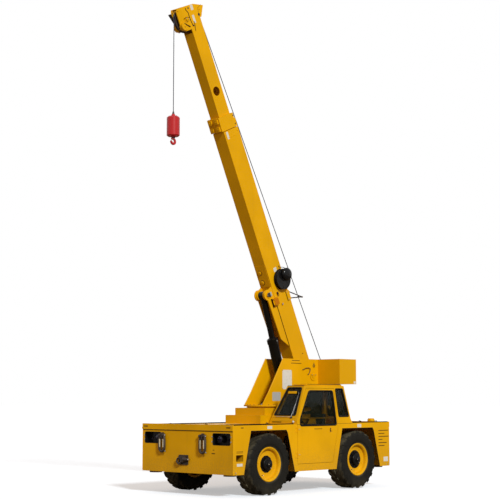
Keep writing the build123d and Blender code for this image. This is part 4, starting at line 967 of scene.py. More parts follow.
class CRANE_OT_stage(bpy.types.Operator):
    """Floor, room light, key light and the camera at the photograph's angle"""
    bl_idname = "crane.stage"
    bl_label = "Stage"

    def execute(self, context):
        scene = context.scene
        settings = scene.crane_stage
        scene.view_settings.view_transform = "Standard"
        bpy.ops.mesh.primitive_plane_add(size=400, location=(0, 0, 0))
        floor = context.object
        floor.name = "floor"
        floor.data.materials.append(self.floor_finish())
        world = bpy.data.worlds.new("room")
        scene.world = world
        self.light_room(world, settings.fill)
        sun = bpy.data.lights.new("key", "SUN")
        sun.energy = settings.key
        sun.angle = radians(9)
        sun.color = (0.98, 1.0, 0.93)
        lamp = bpy.data.objects.new("key", sun)
        lamp.matrix_world = facing((0, 0, 8), (0.35, 0.8, 0.5))
        scene.collection.objects.link(lamp)
        self.camera(scene)
        return {"FINISHED"}

    def floor_finish(self):
        """White to the camera with the crane's shadow on it, and grey as a source of bounced light."""
        r = Recipe("floor")
        seen = r.rays("Is Camera Ray", "Is Transmission Ray")
        speckle = r.noise(3.0, 4.0)
        tone = r.mix(seen, (0.3, 0.25, 0.2), (0.76, 0.84, 0.99))
        tone = r.mix(speckle * 0.02, tone, (0.7, 0.8, 0.9))
        lift = r.mix(seen, (0.0, 0.0, 0.0), (1.0, 1.0, 1.0))
        return r.finish(
            Base_Color=tone, Roughness=0.9, Specular_IOR_Level=0.0, Emission_Color=lift,
            Emission_Strength=0.44)

    def light_room(self, world, strength):
        """Even light from all round; the camera, mirrors and glass see plain white."""
        r = Recipe("room", world)
        seen = r.rays("Is Camera Ray", "Is Glossy Ray", "Is Transmission Ray")
        room = r.node("ShaderNodeBackground", None, ((1.0, 0.78, 0.6), strength))
        white = r.node("ShaderNodeBackground", None, ((1.0, 1.0, 1.0), 1.0))
        both = r.node("ShaderNodeMixShader", None, (seen, room, white))
        r.node("ShaderNodeOutputWorld", None, (both,))

    def camera(self, scene):
        lens_data = bpy.data.cameras.new("view")
        lens_data.sensor_width = 36
        lens_data.lens = LENS
        lens_data.clip_end = 500
        view = bpy.data.objects.new("view", lens_data)
        level = cos(VIEW_PITCH)
        ahead = Vector((
            -sin(VIEW_AZIMUTH) * level, -cos(VIEW_AZIMUTH) * level, sin(VIEW_PITCH)))
        right = ahead.cross(Vector(UP)).normalized()
        view.matrix_world = placed(VIEW_FROM, right, right.cross(ahead), -ahead)
        scene.collection.objects.link(view)
        scene.camera = view


class CRANE_OT_finishes(bpy.types.Operator):
    """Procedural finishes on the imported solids"""
    bl_idname = "crane.finishes"
    bl_label = "Finishes"

    def execute(self, context):
        for name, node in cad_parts.items():
            if name not in NODE_FINISH:
                continue
            finish = finish_of(NODE_FINISH[name])
            for slot in node.material_slots:
                slot.material = finish
            if not node.material_slots:
                node.data.materials.append(finish)
        return {"FINISHED"}


TYRE_SECTION = (
    (0.2935, 0.147), (0.322, 0.1635), (0.331, 0.17), (0.342, 0.181), (0.362, 0.191), (0.402, 0.1985),
    (0.44, 0.1995), (0.47, 0.1993), (0.495, 0.197), (0.52, 0.191), (0.538, 0.18), (0.548, 0.16),
    (0.5515, 0.11), (0.5525, 0.06), (0.553, 0.0),
)
LUG_STATIONS = (
    (-0.006, 0.54, 0.575), (0.06, 0.54, 0.575), (0.12, 0.535, 0.575), (0.162, 0.525, 0.5745),
    (0.176, 0.515, 0.568), (0.188, 0.5, 0.548), (0.1955, 0.485, 0.52), (0.199, 0.47, 0.49),
)
LUG_PROFILE = ((-1.06, 0.0), (-0.98, 0.55), (-0.88, 1.0), (0.88, 1.0), (0.98, 0.55), (1.06, 0.0))


class CRANE_OT_tyres(bpy.types.Operator):
    """Four tyres with chevron lugs over their shoulders"""
    bl_idname = "crane.tyres"
    bl_label = "Tyres"

    def execute(self, context):
        count = sizes().lug_pairs
        step = tau / (2 * count)
        for corner, axle_x, sign in CORNERS:
            form = Form().use("tyre_rubber")
            place = at(axle_x, sign * WHEEL_Y, AXLE_Z) @ spin(-pi / 2, "X")
            half = list(TYRE_SECTION)
            form.turned(half + [(r, -y) for r, y in reversed(half[:-1])], place, 120)
            self.sidewall(form, place)
            centre = Vector((axle_x, sign * WHEEL_Y, AXLE_Z))
            for i in range(2 * count):
                self.lug(form, centre, -tau / 4 + i * step, step, 1 if i % 2 == 0 else -1)
            form.piece("tyre_tread_" + corner, "wheel_" + corner, "tyre_rubber", 30, ("tyre_" + corner,))
        return {"FINISHED"}

    def lug(self, form, centre, angle, step, side):
        """One lug: from the crown's middle, slanting back and down over the shoulder."""
        rise = sizes().lug_depth - LUG_DEPTH
        verts = []
        for y, low, high in LUG_STATIONS:
            middle = angle + 2 * step * min(1.0, max(0.0, y) / 0.172)
            half = step / 2 * (0.86 + 0.1 * max(0.0, y) / 0.2)
            for across, up in LUG_PROFILE:
                radius = low + (high + rise - low) * up
                turn = middle + across * half
                verts.append(centre + Vector((radius * cos(turn), side * y, radius * sin(turn))))
        n = len(LUG_PROFILE)
        ends = [tuple(range(n)), tuple(range(len(verts) - n, len(verts)))]
        form.add(verts, quads(len(LUG_STATIONS), n, False, False) + ends)

    def sidewall(self, form, place):
        """Raised rings and blank pads moulded on the walls."""
        for side in (1, -1):
            for low, high, out in ((0.356, 0.361, 0.1915), (0.374, 0.38, 0.1965), (0.452, 0.456, 0.1998)):
                profile = [(low, out - 0.008), (low + 0.001, out), (high - 0.001, out), (high, out - 0.008)]
                form.turned([(r, side * z) for r, z in profile], place, 96)
            for k in range(4):
                turn = place @ spin(tau * (k + 0.3) / 4)
                arc = [(cos(a / 100) * r, sin(a / 100) * r) for r, row in (
                    (0.392, range(-30, 31, 6)), (0.44, range(30, -31, -6))) for a in row]
                low = 0.1985 if side > 0 else -0.1998
                form.plate(arc, 0.0013, turn @ at(0, 0, low), 0.0004)


class CRANE_OT_wheels(bpy.types.Operator):
    """Wheel nuts, hub covers, lock rings and valves"""
    bl_idname = "crane.wheels"
    bl_label = "Wheel fittings"

    def execute(self, context):
        for corner, axle_x, sign in CORNERS:
            place = at(axle_x, sign * WHEEL_Y, AXLE_Z) @ spin(-sign * pi / 2, "X")
            out = Vector((0, sign, 0))
            form = Form().use("black_paint")
            for spot in around(place, 12, 0.146, height=0.096):
                form.bolt(spot, out, 0.0125)
                form.rod(spot, spot + out * 0.022, 0.007, 10)
            hub = [(0.0, 0.176), (0.05, 0.176), (0.05, 0.186), (0.04, 0.1895), (0.0, 0.1895)]
            form.turned(hub, place, 40)
            form.turned([(0.106, 0.126), (0.1205, 0.128), (0.1205, 0.136), (0.106, 0.138)], place, 56)
            for spot in around(place, 10, 0.088, 0, 0.16):
                form.bolt(spot, out, 0.0075, False)
            form.use("zinc").bolt(place @ Vector((0.022, 0, 0.189)), out, 0.008)
            form.bolt(place @ Vector((-0.06, 0.07, 0.161)), out, 0.008)
            form.use("rim_front" if axle_x == FRONT_AXLE else "rim_rear")
            ring = [(0.29, 0.17), (0.3, 0.178), (0.316, 0.18), (0.3215, 0.176), (0.318, 0.17)]
            form.turned(ring + ring[:1], place, 96, 0.985)
            for k in range(5):
                turn = place @ spin(tau * (k + 0.2) / 5)
                plug = [(0.0, 0.0965), (0.017, 0.0965), (0.02, 0.0985), (0.0, 0.0985)]
                form.turned(plug, turn @ at(0.236, 0, 0.0035), 20)
            form.use("hose_rubber")
            stem = place @ spin(0.9)
            form.rod(stem @ Vector((0.262, 0, 0.104)), stem @ Vector((0.252, 0, 0.16)), 0.0055, 10)
            form.use("bright_steel")
            form.rod(stem @ Vector((0.252, 0, 0.159)), stem @ Vector((0.25, 0, 0.172)), 0.0065, 10)
            form.piece("wheel_fittings_" + corner, "wheel_" + corner, "dark_steel")
        return {"FINISHED"}


class CRANE_OT_running_gear(bpy.types.Operator):
    """Flange bolts on the axles, drive joints, steering hoses and frame welds"""
    bl_idname = "crane.running_gear"
    bl_label = "Running gear fittings"

    def execute(self, context):
        form = Form()
        for axle_x, end in ((FRONT_AXLE, 1), (REAR_AXLE, -1)):
            form.use("black_paint")
            flange = facing((axle_x - 0.014, 0.06, AXLE_Z), FORE)
            rim = [(0.199, 0), (0.226, 0), (0.228, 0.003), (0.228, 0.025), (0.226, 0.028), (0.199, 0.028)]
            form.turned(rim, flange, 56)
            for side in (1, -1):
                cuff = facing((axle_x, side * 0.34, AXLE_Z), (0, side, 0))
                form.turned(disc(0.112, 0.024, 0.079), cuff, 40)
                form.use("dark_steel")
                for spot in around(cuff, 8, 0.097, 0, 0.024):
                    form.bolt(spot, (0, side, 0), 0.008)
                form.use("black_paint")
            form.use("dark_steel")
            for spot in around(flange, 14, 0.214, 0):
                form.bolt(spot + Vector((0.028, 0, 0)), FORE, 0.008, False)
                form.bolt(spot, AFT, 0.008, False)
            steer_x = axle_x + end * 0.21
            form.use("chrome_rod").rod((steer_x, -0.521, 0.6), (steer_x, -0.331, 0.6), 0.0206, 20)
            form.rod((steer_x, 0.091, 0.6), (steer_x, 0.281, 0.6), 0.0206, 20)
            form.use("zinc")
            for y in (-0.3, 0.06):
                form.rod((steer_x, y, 0.64), (steer_x, y, 0.662), 0.012, 6)
            form.use("hose_rubber")
            for y, top_y in ((-0.3, -0.24), (0.06, -0.19)):
                route = [
                    (steer_x, y, 0.66), (steer_x, y, 0.72), (steer_x - end * 0.1, (y + top_y) / 2, 0.86),
                    (axle_x - end * 0.16, top_y, 0.98), (axle_x - end * 0.4, top_y, 1.12)]
                form.hose(route, 0.009)
            for x in (axle_x - end * 0.285, mid(end * 0.24)):
                form.use("dark_steel")
                joint = facing((x, 0.06, AXLE_Z), FORE)
                for inner, outer in zip(around(joint, 4, 0.03), around(joint, 4, 0.074)):
                    form.rod(inner, outer, 0.015, 12)
        # The frame welds take the frame's darker yellow, which is painted shade.
        form.use("inner_paint")
        for side in (1, -1):
            for x in (mid(0.62), mid(-0.6), mid(1.75)):
                form.weld((x + 0.014, side * 0.418, 0.77), (x + 0.014, side * 0.418, 1.285))
        form.use("hose_rubber")
        for k, y in enumerate((0.33, 0.352, 0.374)):
            route = [(mid(x), y, z) for x, z in (
                (-1.05, 0.82), (-0.72, 0.905 + k * 0.012), (-0.3, 0.925), (0.3, 0.915), (0.56, 0.935),
                (0.6, 1.000))]
            form.hose(route, 0.01)
        form.piece("running_gear_fittings", "chassis", "dark_steel")
        return {"FINISHED"}


def lamp_window(form, x, side, out):
    """Rubber edge of a lamp opening; out is 1 on the front plate and -1 on the rear one."""
    outline = rounded([(0.705, 0.95), (1.15, 0.95), (1.15, 1.158), (0.705, 1.158)], 0.028, 4)
    section = [
        (-0.006, 0.0003), (-0.006, 0.003), (0.003, 0.003), (0.003, -0.018), (0.0004, -0.018),
        (0.0004, 0.0003)]
    place = Matrix(((0, 0, out, x), (side, 0, 0, 0), (0, 1, 0, 0), (0, 0, 0, 1)))
    form.use("seal_rubber").moulding(outline, section, place)


def corner_welds(form, x):
    """Weld beads down both corners of a bumper plate."""
    for side in (1, -1):
        form.weld((x, side * 1.216, 0.43), (x, side * 1.216, 1.196), 0.0045)


class CRANE_OT_front(bpy.types.Operator):
    """Lamps, labels, shackles, bolts, welds and trim on the front plate"""
    bl_idname = "crane.front"
    bl_label = "Front end"

    def execute(self, context):
        form = Form()
        for side in (1, -1):
            y = side * 0.853
            lamp = facing((FRONT - 0.04, y, 1.056), FORE)
            form.use("black_paint")
            form.turned([(0.0, -0.001), (0.05, -0.001), (0.058, 0.002), (0.0, 0.002)], lamp, 40)
            bezel = [(0.055, 0.0), (0.0635, 0.0), (0.0635, 0.008), (0.06, 0.011), (0.055, 0.01)]
            form.turned(bezel, lamp, 48)
            form.use("lamp_dark")
            dome = [(0.0, 0.013), (0.02, 0.0125), (0.038, 0.0108), (0.05, 0.0078), (0.056, 0.004)]
            form.turned(dome, lamp, 40)
            form.use("black_plastic")
            for x, y in ((0.062, 0.062), (-0.062, 0.062), (-0.062, -0.062), (0.062, -0.062)):
                form.bolt(lamp @ Vector((x, y, -0.01)), FORE, 0.006)
            form.use("lamp_dark")
            indicator = facing((FRONT - 0.104, side * 1.04, 1.03), FORE, LEFT)
            form.slab((0.09, 0.052, 0.01), indicator, 0.003)
            form.use("zinc")
            for z in (1.008, 1.098):
                form.bolt((FRONT + 0.0002, side * 1.166, z), FORE, 0.0095)
                form.bolt((FRONT + 0.0002, side * 0.688, z), FORE, 0.0095)
            lamp_window(form, FRONT, side, 1)
        form.use("label_brown")
        for x, y, z, size in (
                (0, 0.722, 0.856, (0.04, 0.012)), (0, 0.716, 0.792, (0.09, 0.016)),
                (0.012, -1.12, 1.266, (0.11, 0.02)), (0.012, 1.11, 1.266, (0.11, 0.02))):
            form.label((FRONT + x, y, z), FORE, size, LEFT)
        form.use("seal_rubber").slab((0.01, 2.424, 0.012), at(FRONT + 0.0045, 0, 1.201), 0.002)
        form.use("machine_paint")
        form.rod((FRONT - 0.018, -1.205, 1.232), (FRONT - 0.018, -1.239, 1.232), 0.026, 20)
        corner_welds(form, FRONT + 0.004)
        form.use("dark_steel")
        for y in (-0.165, 0.035):
            for z in (0.588, 0.721):
                form.bolt((FRONT + 0.018, y, z), FORE, 0.012)
        for y in (-0.635, 0.467):
            self.shackle(form, y)
            form.use("bright_steel")
            pin = facing((FRONT + 0.038, y + 0.0735, 1.102), LEFT)
            form.turned([(0, 0), (0.0165, 0), (0.0165, 0.01), (0.012, 0.016), (0, 0.017)], pin, 20)
            nut = facing((FRONT + 0.038, y - 0.086, 1.102), RIGHT)
            form.turned(disc(0.024, 0.006), nut, 6)
        form.use("zinc").rod((FRONT + 0.05, 0.103, 0.6645), (FRONT + 0.05, 0.116, 0.6645), 0.02, 20)
        form.piece("front_fittings", "chassis", "dark_steel")
        return {"FINISHED"}

    def shackle(self, form, y):
        """Dark sleeve over the bar, and pale strips inside its legs that are painted highlights."""
        x = FRONT + 0.038
        wide = 0.072
        route = [(x, y - wide * 0.75, 1.08), (x, y - wide, 1.02), (x, y - wide, 0.868)]
        for k in range(1, 12):
            angle = pi * k / 12
            route.append((x, y - wide * cos(angle), 0.868 - wide * sin(angle)))
        route += [(x, y + wide, 0.868), (x, y + wide, 1.02), (x, y + wide * 0.75, 1.08)]
        form.use("dark_steel").pipe(route, 0.023, 14)
        # Pale strips on the inner legs: painted highlights.
        form.use("worn_steel")
        for side in (1, -1):
            leg = Vector((x + 0.012, y + side * 0.049, 0))
            form.rod(leg + Vector((0, 0, 0.875)), leg + Vector((0, 0, 1.03)), 0.014, 12)
        form.use("bright_steel")
        form.rod((x, y + wide + 0.012, 0.81), (x + 0.016, y + wide + 0.04, 0.8), 0.0125, 12)


class CRANE_OT_rear(bpy.types.Operator):
    """Tail lamps, reflectors, plate, tow mount and trim on the rear end"""
    bl_idname = "crane.rear"
    bl_label = "Rear end"

    def execute(self, context):
        form = Form()
        for side in (1, -1):
            for finish, low, high in (("red_lens", 0.745, 0.925), ("amber_lens", 0.945, 1.06)):
                middle = side * (low + high) / 2
                place = facing((REAR + 0.014, middle, 1.056), AFT, LEFT)
                form.use("black_plastic")
                form.plate(rounded(rect(high - low + 0.004, 0.104), 0.01, 3), 0.006, place, 0.002)
                form.use(finish)
                lens_outline = rounded(rect(high - low - 0.012, 0.088), 0.008, 3)
                form.plate(lens_outline, 0.014, place @ at(0, 0, 0.002), 0.005)
            form.use("red_lens")
            reflector = facing((REAR, side * 1.13, 0.8), AFT)
            form.turned(button(0.034, 0.004, 0.028, 0.007), reflector, 32)
            form.use("zinc")
            for z in (1.008, 1.098):
                form.bolt((REAR, side * 1.166, z), AFT, 0.0095)
            lamp_window(form, REAR, side, -1)
        form.use("seal_rubber").slab((0.01, 2.424, 0.012), at(REAR - 0.0045, 0, 1.201), 0.002)
        form.use("label_white").label((REAR, 0.42, 0.87), AFT, (0.3, 0.15), LEFT, 0.002)
        form.use("zinc")
        for y in (0.3, 0.54):
            form.bolt((REAR - 0.002, y, 0.87), AFT, 0.006)
        form.use("dark_steel")
        ring = facing((REAR + 0.006, -0.4, 0.66), AFT)
        form.plate(rounded(rect(0.11, 0.13), 0.014, 3), 0.008, ring, 0.002)
        for y in (-0.44, -0.36):
            for z in (0.615, 0.705):
                form.bolt((REAR - 0.002, y, z), AFT, 0.009)
        form.use("machine_paint")
        corner_welds(form, REAR - 0.004)
        form.piece("rear_fittings", "chassis", "dark_steel")
        return {"FINISHED"}


class CRANE_OT_deck(bpy.types.Operator):
    """Non-skid sheets, edge strips, filler, plugs and tie rings on the deck"""
    bl_idname = "crane.deck"
    bl_label = "Deck"

    def execute(self, context):
        form = Form().use("grit")
        sheets = (
            (0.68, 1.205, 0.52, 1.212), (1.24, 1.925, 0.52, 1.212), (1.957, 2.318, 0.52, 1.212),
            (0.68, 1.205, -1.1, -0.52), (1.24, 1.925, -1.1, -0.52),
            (-0.86, -0.06, -1.196, -0.52), (-0.01, 0.62, -1.196, -0.52),
            (-1.54, -1.13, 0.12, 0.94), (-2.26, -1.62, 0.12, 0.94),
        )
        for low_x, high_x, low_y, high_y in sheets:
            middle = at(mid((low_x + high_x) / 2), (low_y + high_y) / 2, DECK)
            form.plate(rounded(rect(high_x - low_x, high_y - low_y), 0.03, 3), 0.0022, middle, 0.0008)
        for low_x, high_x in ((0.68, 1.205), (1.24, 1.925), (1.957, 2.318), (-2.27, -1.15)):
            middle = at(mid((low_x + high_x) / 2), 1.186, DECK + 0.008)
            form.slab((high_x - low_x, 0.056, 0.016), middle, 0.003)
        form.use("machine_paint").slab((0.13, 0.12, 0.08), at(mid(-1.87), 1.09, DECK + 0.04), 0.022)
        form.use("label_grey")
        cap = facing((mid(-2.01), 1.09, DECK), UP)
        lid = [(0, 0), (0.034, 0), (0.034, 0.006), (0.042, 0.008), (0.042, 0.034), (0.036, 0.038), (0, 0.038)]
        form.turned(lid, cap, 36)
        form.use("zinc")
        for x in (-1.9, -1.84):
            for y in (1.06, 1.12):
                form.bolt((mid(x), y, DECK + 0.08), UP, 0.006)
        form.use("machine_paint")
        for x, y in ((-1.34, -1.186), (1.6, 0.478)):
            form.slab((0.06, 0.036, 0.01), at(mid(x), y, DECK + 0.005), 0.003)
        for side in (1, -1):
            for x in (2.3, 0.64, -1.09, -2.27):
                self.tie_ring(form, Vector((mid(x), side * 0.48, DECK)))
        form.use("black_plastic")
        for x in (-0.4, 0.36):
            plug = facing((mid(x), -0.85, DECK + 0.0022), UP)
            form.turned(button(0.038, 0.004, 0.03, 0.008), plug, 32)
        form.piece("deck_fittings", "chassis", "dark_steel")
        return {"FINISHED"}

    def tie_ring(self, form, spot):
        """Folding lashing ring in its clip."""
        form.use("dark_steel")
        form.slab((0.07, 0.03, 0.006), Matrix.Translation(spot + Vector((0, 0, 0.003))), 0.002)
        ring = []
        for k in range(20):
            along, across = 0.024 * sin(tau * k / 20), 0.024 * cos(tau * k / 20)
            ring.append(spot + Vector((along, across, 0.012 + (0.024 + along) * 0.2)))
        form.pipe(ring, 0.004, 8, True)


class CRANE_OT_sides(bpy.types.Operator):
    """Labels, arch edges, tank cap, bolts and hoses on the side panels"""
    bl_idname = "crane.sides"
    bl_label = "Side panels"

    def execute(self, context):
        form = Form()
        for axle_x in (FRONT_AXLE, REAR_AXLE):
            for side in (1, -1):
                # Black rubber edging round each arch; its dark line also paints the shade in the arch edge's
                # reveal.
                form.use("seal_rubber")
                y = side * (SIDE - 0.006)
                top = 1.207
                route = [(axle_x + x, y, z) for x, z in (
                    (0.739, 0.42), (0.549, top - 0.007), (-0.427, top - 0.007), (-0.463, top - 0.064),
                    (-0.661, 0.42))]
                path = []
                for a, b in zip(route, route[1:]):
                    path += [Vector(a).lerp(Vector(b), k / 8) for k in range(8)]
                form.pipe(path + [Vector(route[-1])], 0.0075, 8)
        form.use("label_white")
        for x, z, wide, high in (
                (1.366, 1.259, 0.136, 0.056), (-1.316, 1.25, 0.128, 0.066), (-2.184, 0.555, 0.15, 0.096),
                (2.176, 0.594, 0.15, 0.05)):
            form.label((mid(x), SIDE, z), LEFT, (wide, high))
        form.label((mid(-0.3), -SIDE, 1.1), RIGHT, (0.15, 0.09))
        form.use("label_brown")
        for x, z, wide, high in (
                (2.176, 0.812, 0.17, 0.008), (2.176, 0.834, 0.17, 0.008), (2.11, 1.262, 0.07, 0.016)):
            form.label((mid(x), SIDE, z), LEFT, (wide, high))
        for z, wide in (
                (1.141, 0.33), (1.079, 0.2), (1.018, 0.34), (0.957, 0.13), (0.891, 0.27),
                (0.831, 0.2)):
            form.label((mid(-1.946 - wide / 2), SIDE, z), LEFT, (wide, 0.014))
        form.use("black_plastic").slab((0.11, 0.012, 0.064), at(mid(0.0), -SIDE - 0.004, 1.185), 0.003)
        cap = facing((mid(0.36), -SIDE, 1.12), RIGHT)
        lid = [(0, 0), (0.058, 0), (0.058, 0.006), (0.046, 0.01), (0.046, 0.015), (0.04, 0.018), (0, 0.018)]
        form.turned(lid, cap, 40)
        form.use("zinc")
        for side in (1, -1):
            for x in (-2.28, -2.2, 2.28):
                form.bolt((mid(x), side * SIDE, 0.45), (0, side, 0), 0.008)
        form.use("hose_rubber")
        for k, y in enumerate((0.96, 1.01, 1.06)):
            route = [(mid(x), y, z) for x, z in (
                (0.614, 1.08), (0.65, 1.02), (0.664, 0.84), (0.648, 0.66))]
            route.append((mid(0.612), y - 0.02 * k, 0.56))
            form.hose(route, 0.013)
        form.use("machine_paint").rod((mid(0.65), 1.01, 0.556), (mid(0.612), 1.01, 0.5), 0.022, 16)
        for x in (-0.605, 0.605):
            form.weld((mid(x), -SIDE - 0.001, 0.42), (mid(x), -SIDE - 0.001, 1.295), 0.002)
        form.piece("side_fittings", "chassis", "dark_steel")
        return {"FINISHED"}


def wall_place(origin, across, up):
    """Matrix of a wall: x across it, y up it, z out of it."""
    x_axis = Vector(across).normalized()
    y_axis = Vector(up).normalized()
    return placed(origin, x_axis, y_axis, x_axis.cross(y_axis))


def up_wall(foot, lean, points):
    """Points on a leaning wall from their heights; foot is its lowest height, lean its slope's cosine."""
    return [(x, (z - foot) / lean) for x, z in points]


WINDSCREEN_WALL = wall_place((MID + 0.59, 0, 1.377), LEFT, (-0.215, 0, 0.668))
REAR_WALL = wall_place((MID - 1.04, 0, 1.393), RIGHT, (0.218, 0, 0.652))
INNER_WALL = wall_place((0, 0.49, 1.307), FORE, (0, 0.3, 0.738))
LEFT_WALL = wall_place((0, SIDE, 0), AFT, UP)


class CRANE_OT_cab(bpy.types.Operator):
    """Window rubbers, wiper, lamp, roof cap, door and inside fittings of the cab"""
    bl_idname = "crane.cab"
    bl_label = "Cab"

    def execute(self, context):
        form = Form().use("seal_rubber")
        panes = (
            (WINDSCREEN_WALL, up_wall(1.377, 0.9519, (
                (0.6, 1.475), (1.15, 1.475), (1.17, 2.003), (0.815, 2.003)))),
            (REAR_WALL, up_wall(1.393, 0.9484, (
                (-0.64, 1.44), (-1.15, 1.44), (-1.15, 1.975), (-0.815, 1.975)))),
            (INNER_WALL, up_wall(1.307, 0.9264, (
                (mid(0.3), 1.96), (mid(-0.7), 1.96), (mid(-0.88), 1.48), (mid(0.43), 1.48)))),
            (LEFT_WALL, [(-mid(x), z) for x, z in (
                (-0.56, 1.985), (-0.785, 1.985), (-0.978, 1.44), (-0.668, 1.44))]),
        )
        for place, points in panes:
            self.window_rubber(form, points, 0.03, place)
        self.wiper(form)
        form.use("machine_paint")
        form.slab((0.215, 0.05, 0.014), WINDSCREEN_WALL @ at(0.96, 0.56, 0.008), 0.004)
        form.slab((0.64, 0.01, 0.006), WINDSCREEN_WALL @ at(0.87, 0.052, 0.002), 0.002)
        form.use("label_brown")
        strip = at(mid(0.596), 0.7, 1.344) @ spin(pi / 2) @ spin(pi / 2, "X")
        form.slab((0.24, 0.012, 0.003), strip, 0.001)
        form.use("bright_steel")
        lamp = facing((mid(0.592), 1.125, 1.349), FORE)
        form.turned(button(0.026, 0.008, 0.022, 0.012), lamp, 28)
        form.use("label_white")
        form.turned([(0, 0.012), (0.02, 0.012), (0.017, 0.018), (0.009, 0.022), (0, 0.023)], lamp, 28)
        form.use("hose_rubber").pipe([(mid(0.376), 0.8, 2.04), (mid(0.376), 1.212, 2.04)], 0.006, 8)
        form.use("machine_paint").slab((1.08, 0.33, 0.026), at(mid(-0.255), 1.03, 2.0565), 0.008)
        # Dark strip along the roof cap's edge: painted shadow in the gap under the turret.
        form.use("label_brown").slab((1.000, 0.01, 0.008), at(mid(-0.255), 1.19, 2.0715), 0.002)
        form.use("seal_rubber")
        form.weld((mid(0.596), SIDE + 0.001, 1.3), (mid(-1.085), SIDE + 0.001, 1.3), 0.0025, 0.03)
        form.piece("cab_fittings", "chassis", "black_plastic")
        self.door()
        self.inside()
        return {"FINISHED"}

    def window_rubber(self, form, points, corner, place):
        """Rubber that wraps a wall's edge and grips the pane."""
        width = sizes().seal
        section = [
            (-0.012, 0.0004), (-0.012, 0.005), (-0.006, 0.009), (0.008, 0.009), (width - 0.016, 0.003),
            (width - 0.012, -0.0155), (0.0006, -0.0155), (0.0006, 0.0004)]
        form.moulding(rounded(points, corner, 5), section, place)

    def wiper(self, form):
        """Arm, blade and spindle at the screen's near edge."""
        def on_screen(y, t, out):
            return WINDSCREEN_WALL @ Vector((y, t, out))
        form.use("black_plastic")
        spindle = facing(on_screen(1.06, 0.06, 0), on_screen(0, 0, 1) - on_screen(0, 0, 0))
        form.turned(button(0.02, 0.016, 0.013, 0.024), spindle, 24)
        form.use("bright_steel")
        form.rod(on_screen(1.06, 0.06, 0.02), on_screen(1.112, 0.33, 0.016), 0.005, 8)
        form.rod(on_screen(1.092, 0.12, 0.01), on_screen(1.128, 0.56, 0.01), 0.003, 6)
        form.use("seal_rubber")
        form.rod(on_screen(1.09, 0.118, 0.001), on_screen(1.126, 0.562, 0.001), 0.0065, 6)
        form.use("bright_steel")
        form.rod(on_screen(0.66, 0.072, 0.013), on_screen(1.05, 0.066, 0.013), 0.0042, 8)

    def door(self):
        """Window rubber, handle, hinge bolts and label of the door."""
        form = Form().use("seal_rubber")
        window = [(-mid(x), z) for x, z in (
            (0.245, 1.945), (-0.475, 1.945), (-0.596, 1.275), (0.5, 1.275), (0.502, 1.4))]
        self.window_rubber(form, window, 0.05, LEFT_WALL)
        form.use("black_plastic")
        handle = facing((mid(-0.395), SIDE + 0.0155, 1.185), LEFT, FORE)
        form.plate(rounded(rect(0.022, 0.076), 0.006, 3), 0.004, handle, 0.001)
        form.use("bright_steel")
        keyhole = facing((mid(-0.4), SIDE + 0.006, 1.158), LEFT)
        form.turned([(0, 0), (0.009, 0), (0.008, 0.002), (0, 0.002)], keyhole, 16)
        form.use("label_brown").label((mid(-0.034), SIDE, 1.208), LEFT, (0.24, 0.01))
        form.use("zinc")
        for z in (1.21, 0.73):
            for x in (0.52, 0.545):
                form.bolt((mid(x), SIDE + 0.005, z), LEFT, 0.006)
        form.use("hose_rubber")
        form.pipe([(mid(0.545), SIDE - 0.043, 0.58), (mid(-0.46), SIDE - 0.043, 0.58)], 0.006, 8)
        form.piece("door_fittings", "door", "black_plastic")

    def inside(self):
        """Gauges, warning lights, lever gaiters, pedals, mat, pole, panels and rail."""
        form = Form().use("black_plastic")
        form.slab((0.2, 0.47, 0.022), at(mid(0.435), 0.8, 1.19), 0.008)
        for y in (0.64, 0.72, 0.8, 0.96):
            gauge = facing((mid(0.375), y, 1.201), (-0.35, 0, 1))
            form.use("bright_steel")
            form.turned([(0.024, 0), (0.031, 0), (0.031, 0.01), (0.026, 0.01)], gauge, 28)
            form.use("label_white")
            form.turned([(0, 0.003), (0.025, 0.003), (0.025, 0.005), (0, 0.005)], gauge, 24)
        form.use("red_lens")
        for y in (0.86, 0.885, 0.91):
            light = facing((mid(0.37), y, 1.201), UP)
            form.turned([(0, 0), (0.007, 0), (0.006, 0.004), (0, 0.006)], light, 14)
        form.use("hose_rubber")
        gaiter = [
            (0.03, 0.0), (0.026, 0.01), (0.03, 0.018), (0.022, 0.028), (0.025, 0.036), (0.016, 0.048),
            (0.009, 0.056)]
        for x in (-0.02, 0.045):
            form.turned(gaiter, facing((mid(x), 0.605, 1.08), UP), 20)
        form.use("black_plastic")
        for y in (0.78, 0.96):
            pedal = at(mid(0.24), y, 0.62) @ spin(radians(-35), "Y")
            form.slab((0.11, 0.07, 0.01), pedal, 0.003)
            form.rod((mid(0.255), y, 0.612), (mid(0.32), y, 0.6), 0.009, 10)
        form.use("grit").plate(rounded(rect(0.62, 0.56), 0.03, 3), 0.004, at(MID, 0.88, 0.56), 0.001)
        form.use("machine_paint").rod((mid(-0.81), 0.75, 1.4), (mid(-0.81), 0.75, 1.83), 0.02, 14)
        for y, outline in (
                (0.64, [(-0.17, 1.51), (-0.5, 1.56), (-0.49, 1.668), (-0.23, 1.668)]),
                (1.15, [(-0.06, 1.3), (0.2, 1.3), (0.12, 1.42), (-0.04, 1.4)])):
            form.plate(outline, 0.014, wall_place((MID, y, 0), FORE, UP), 0.003)
        form.rod((mid(0.1), 0.6, 1.415), (mid(-0.86), 0.6, 1.415), 0.014, 12)
        horn = facing((mid(-0.96), 0.75, 1.625), (0.2, 1, 0))
        form.turned([(0, 0), (0.045, 0), (0.05, 0.01), (0.03, 0.026), (0, 0.03)], horn, 24)
        form.piece("cab_controls", "chassis", "black_plastic")


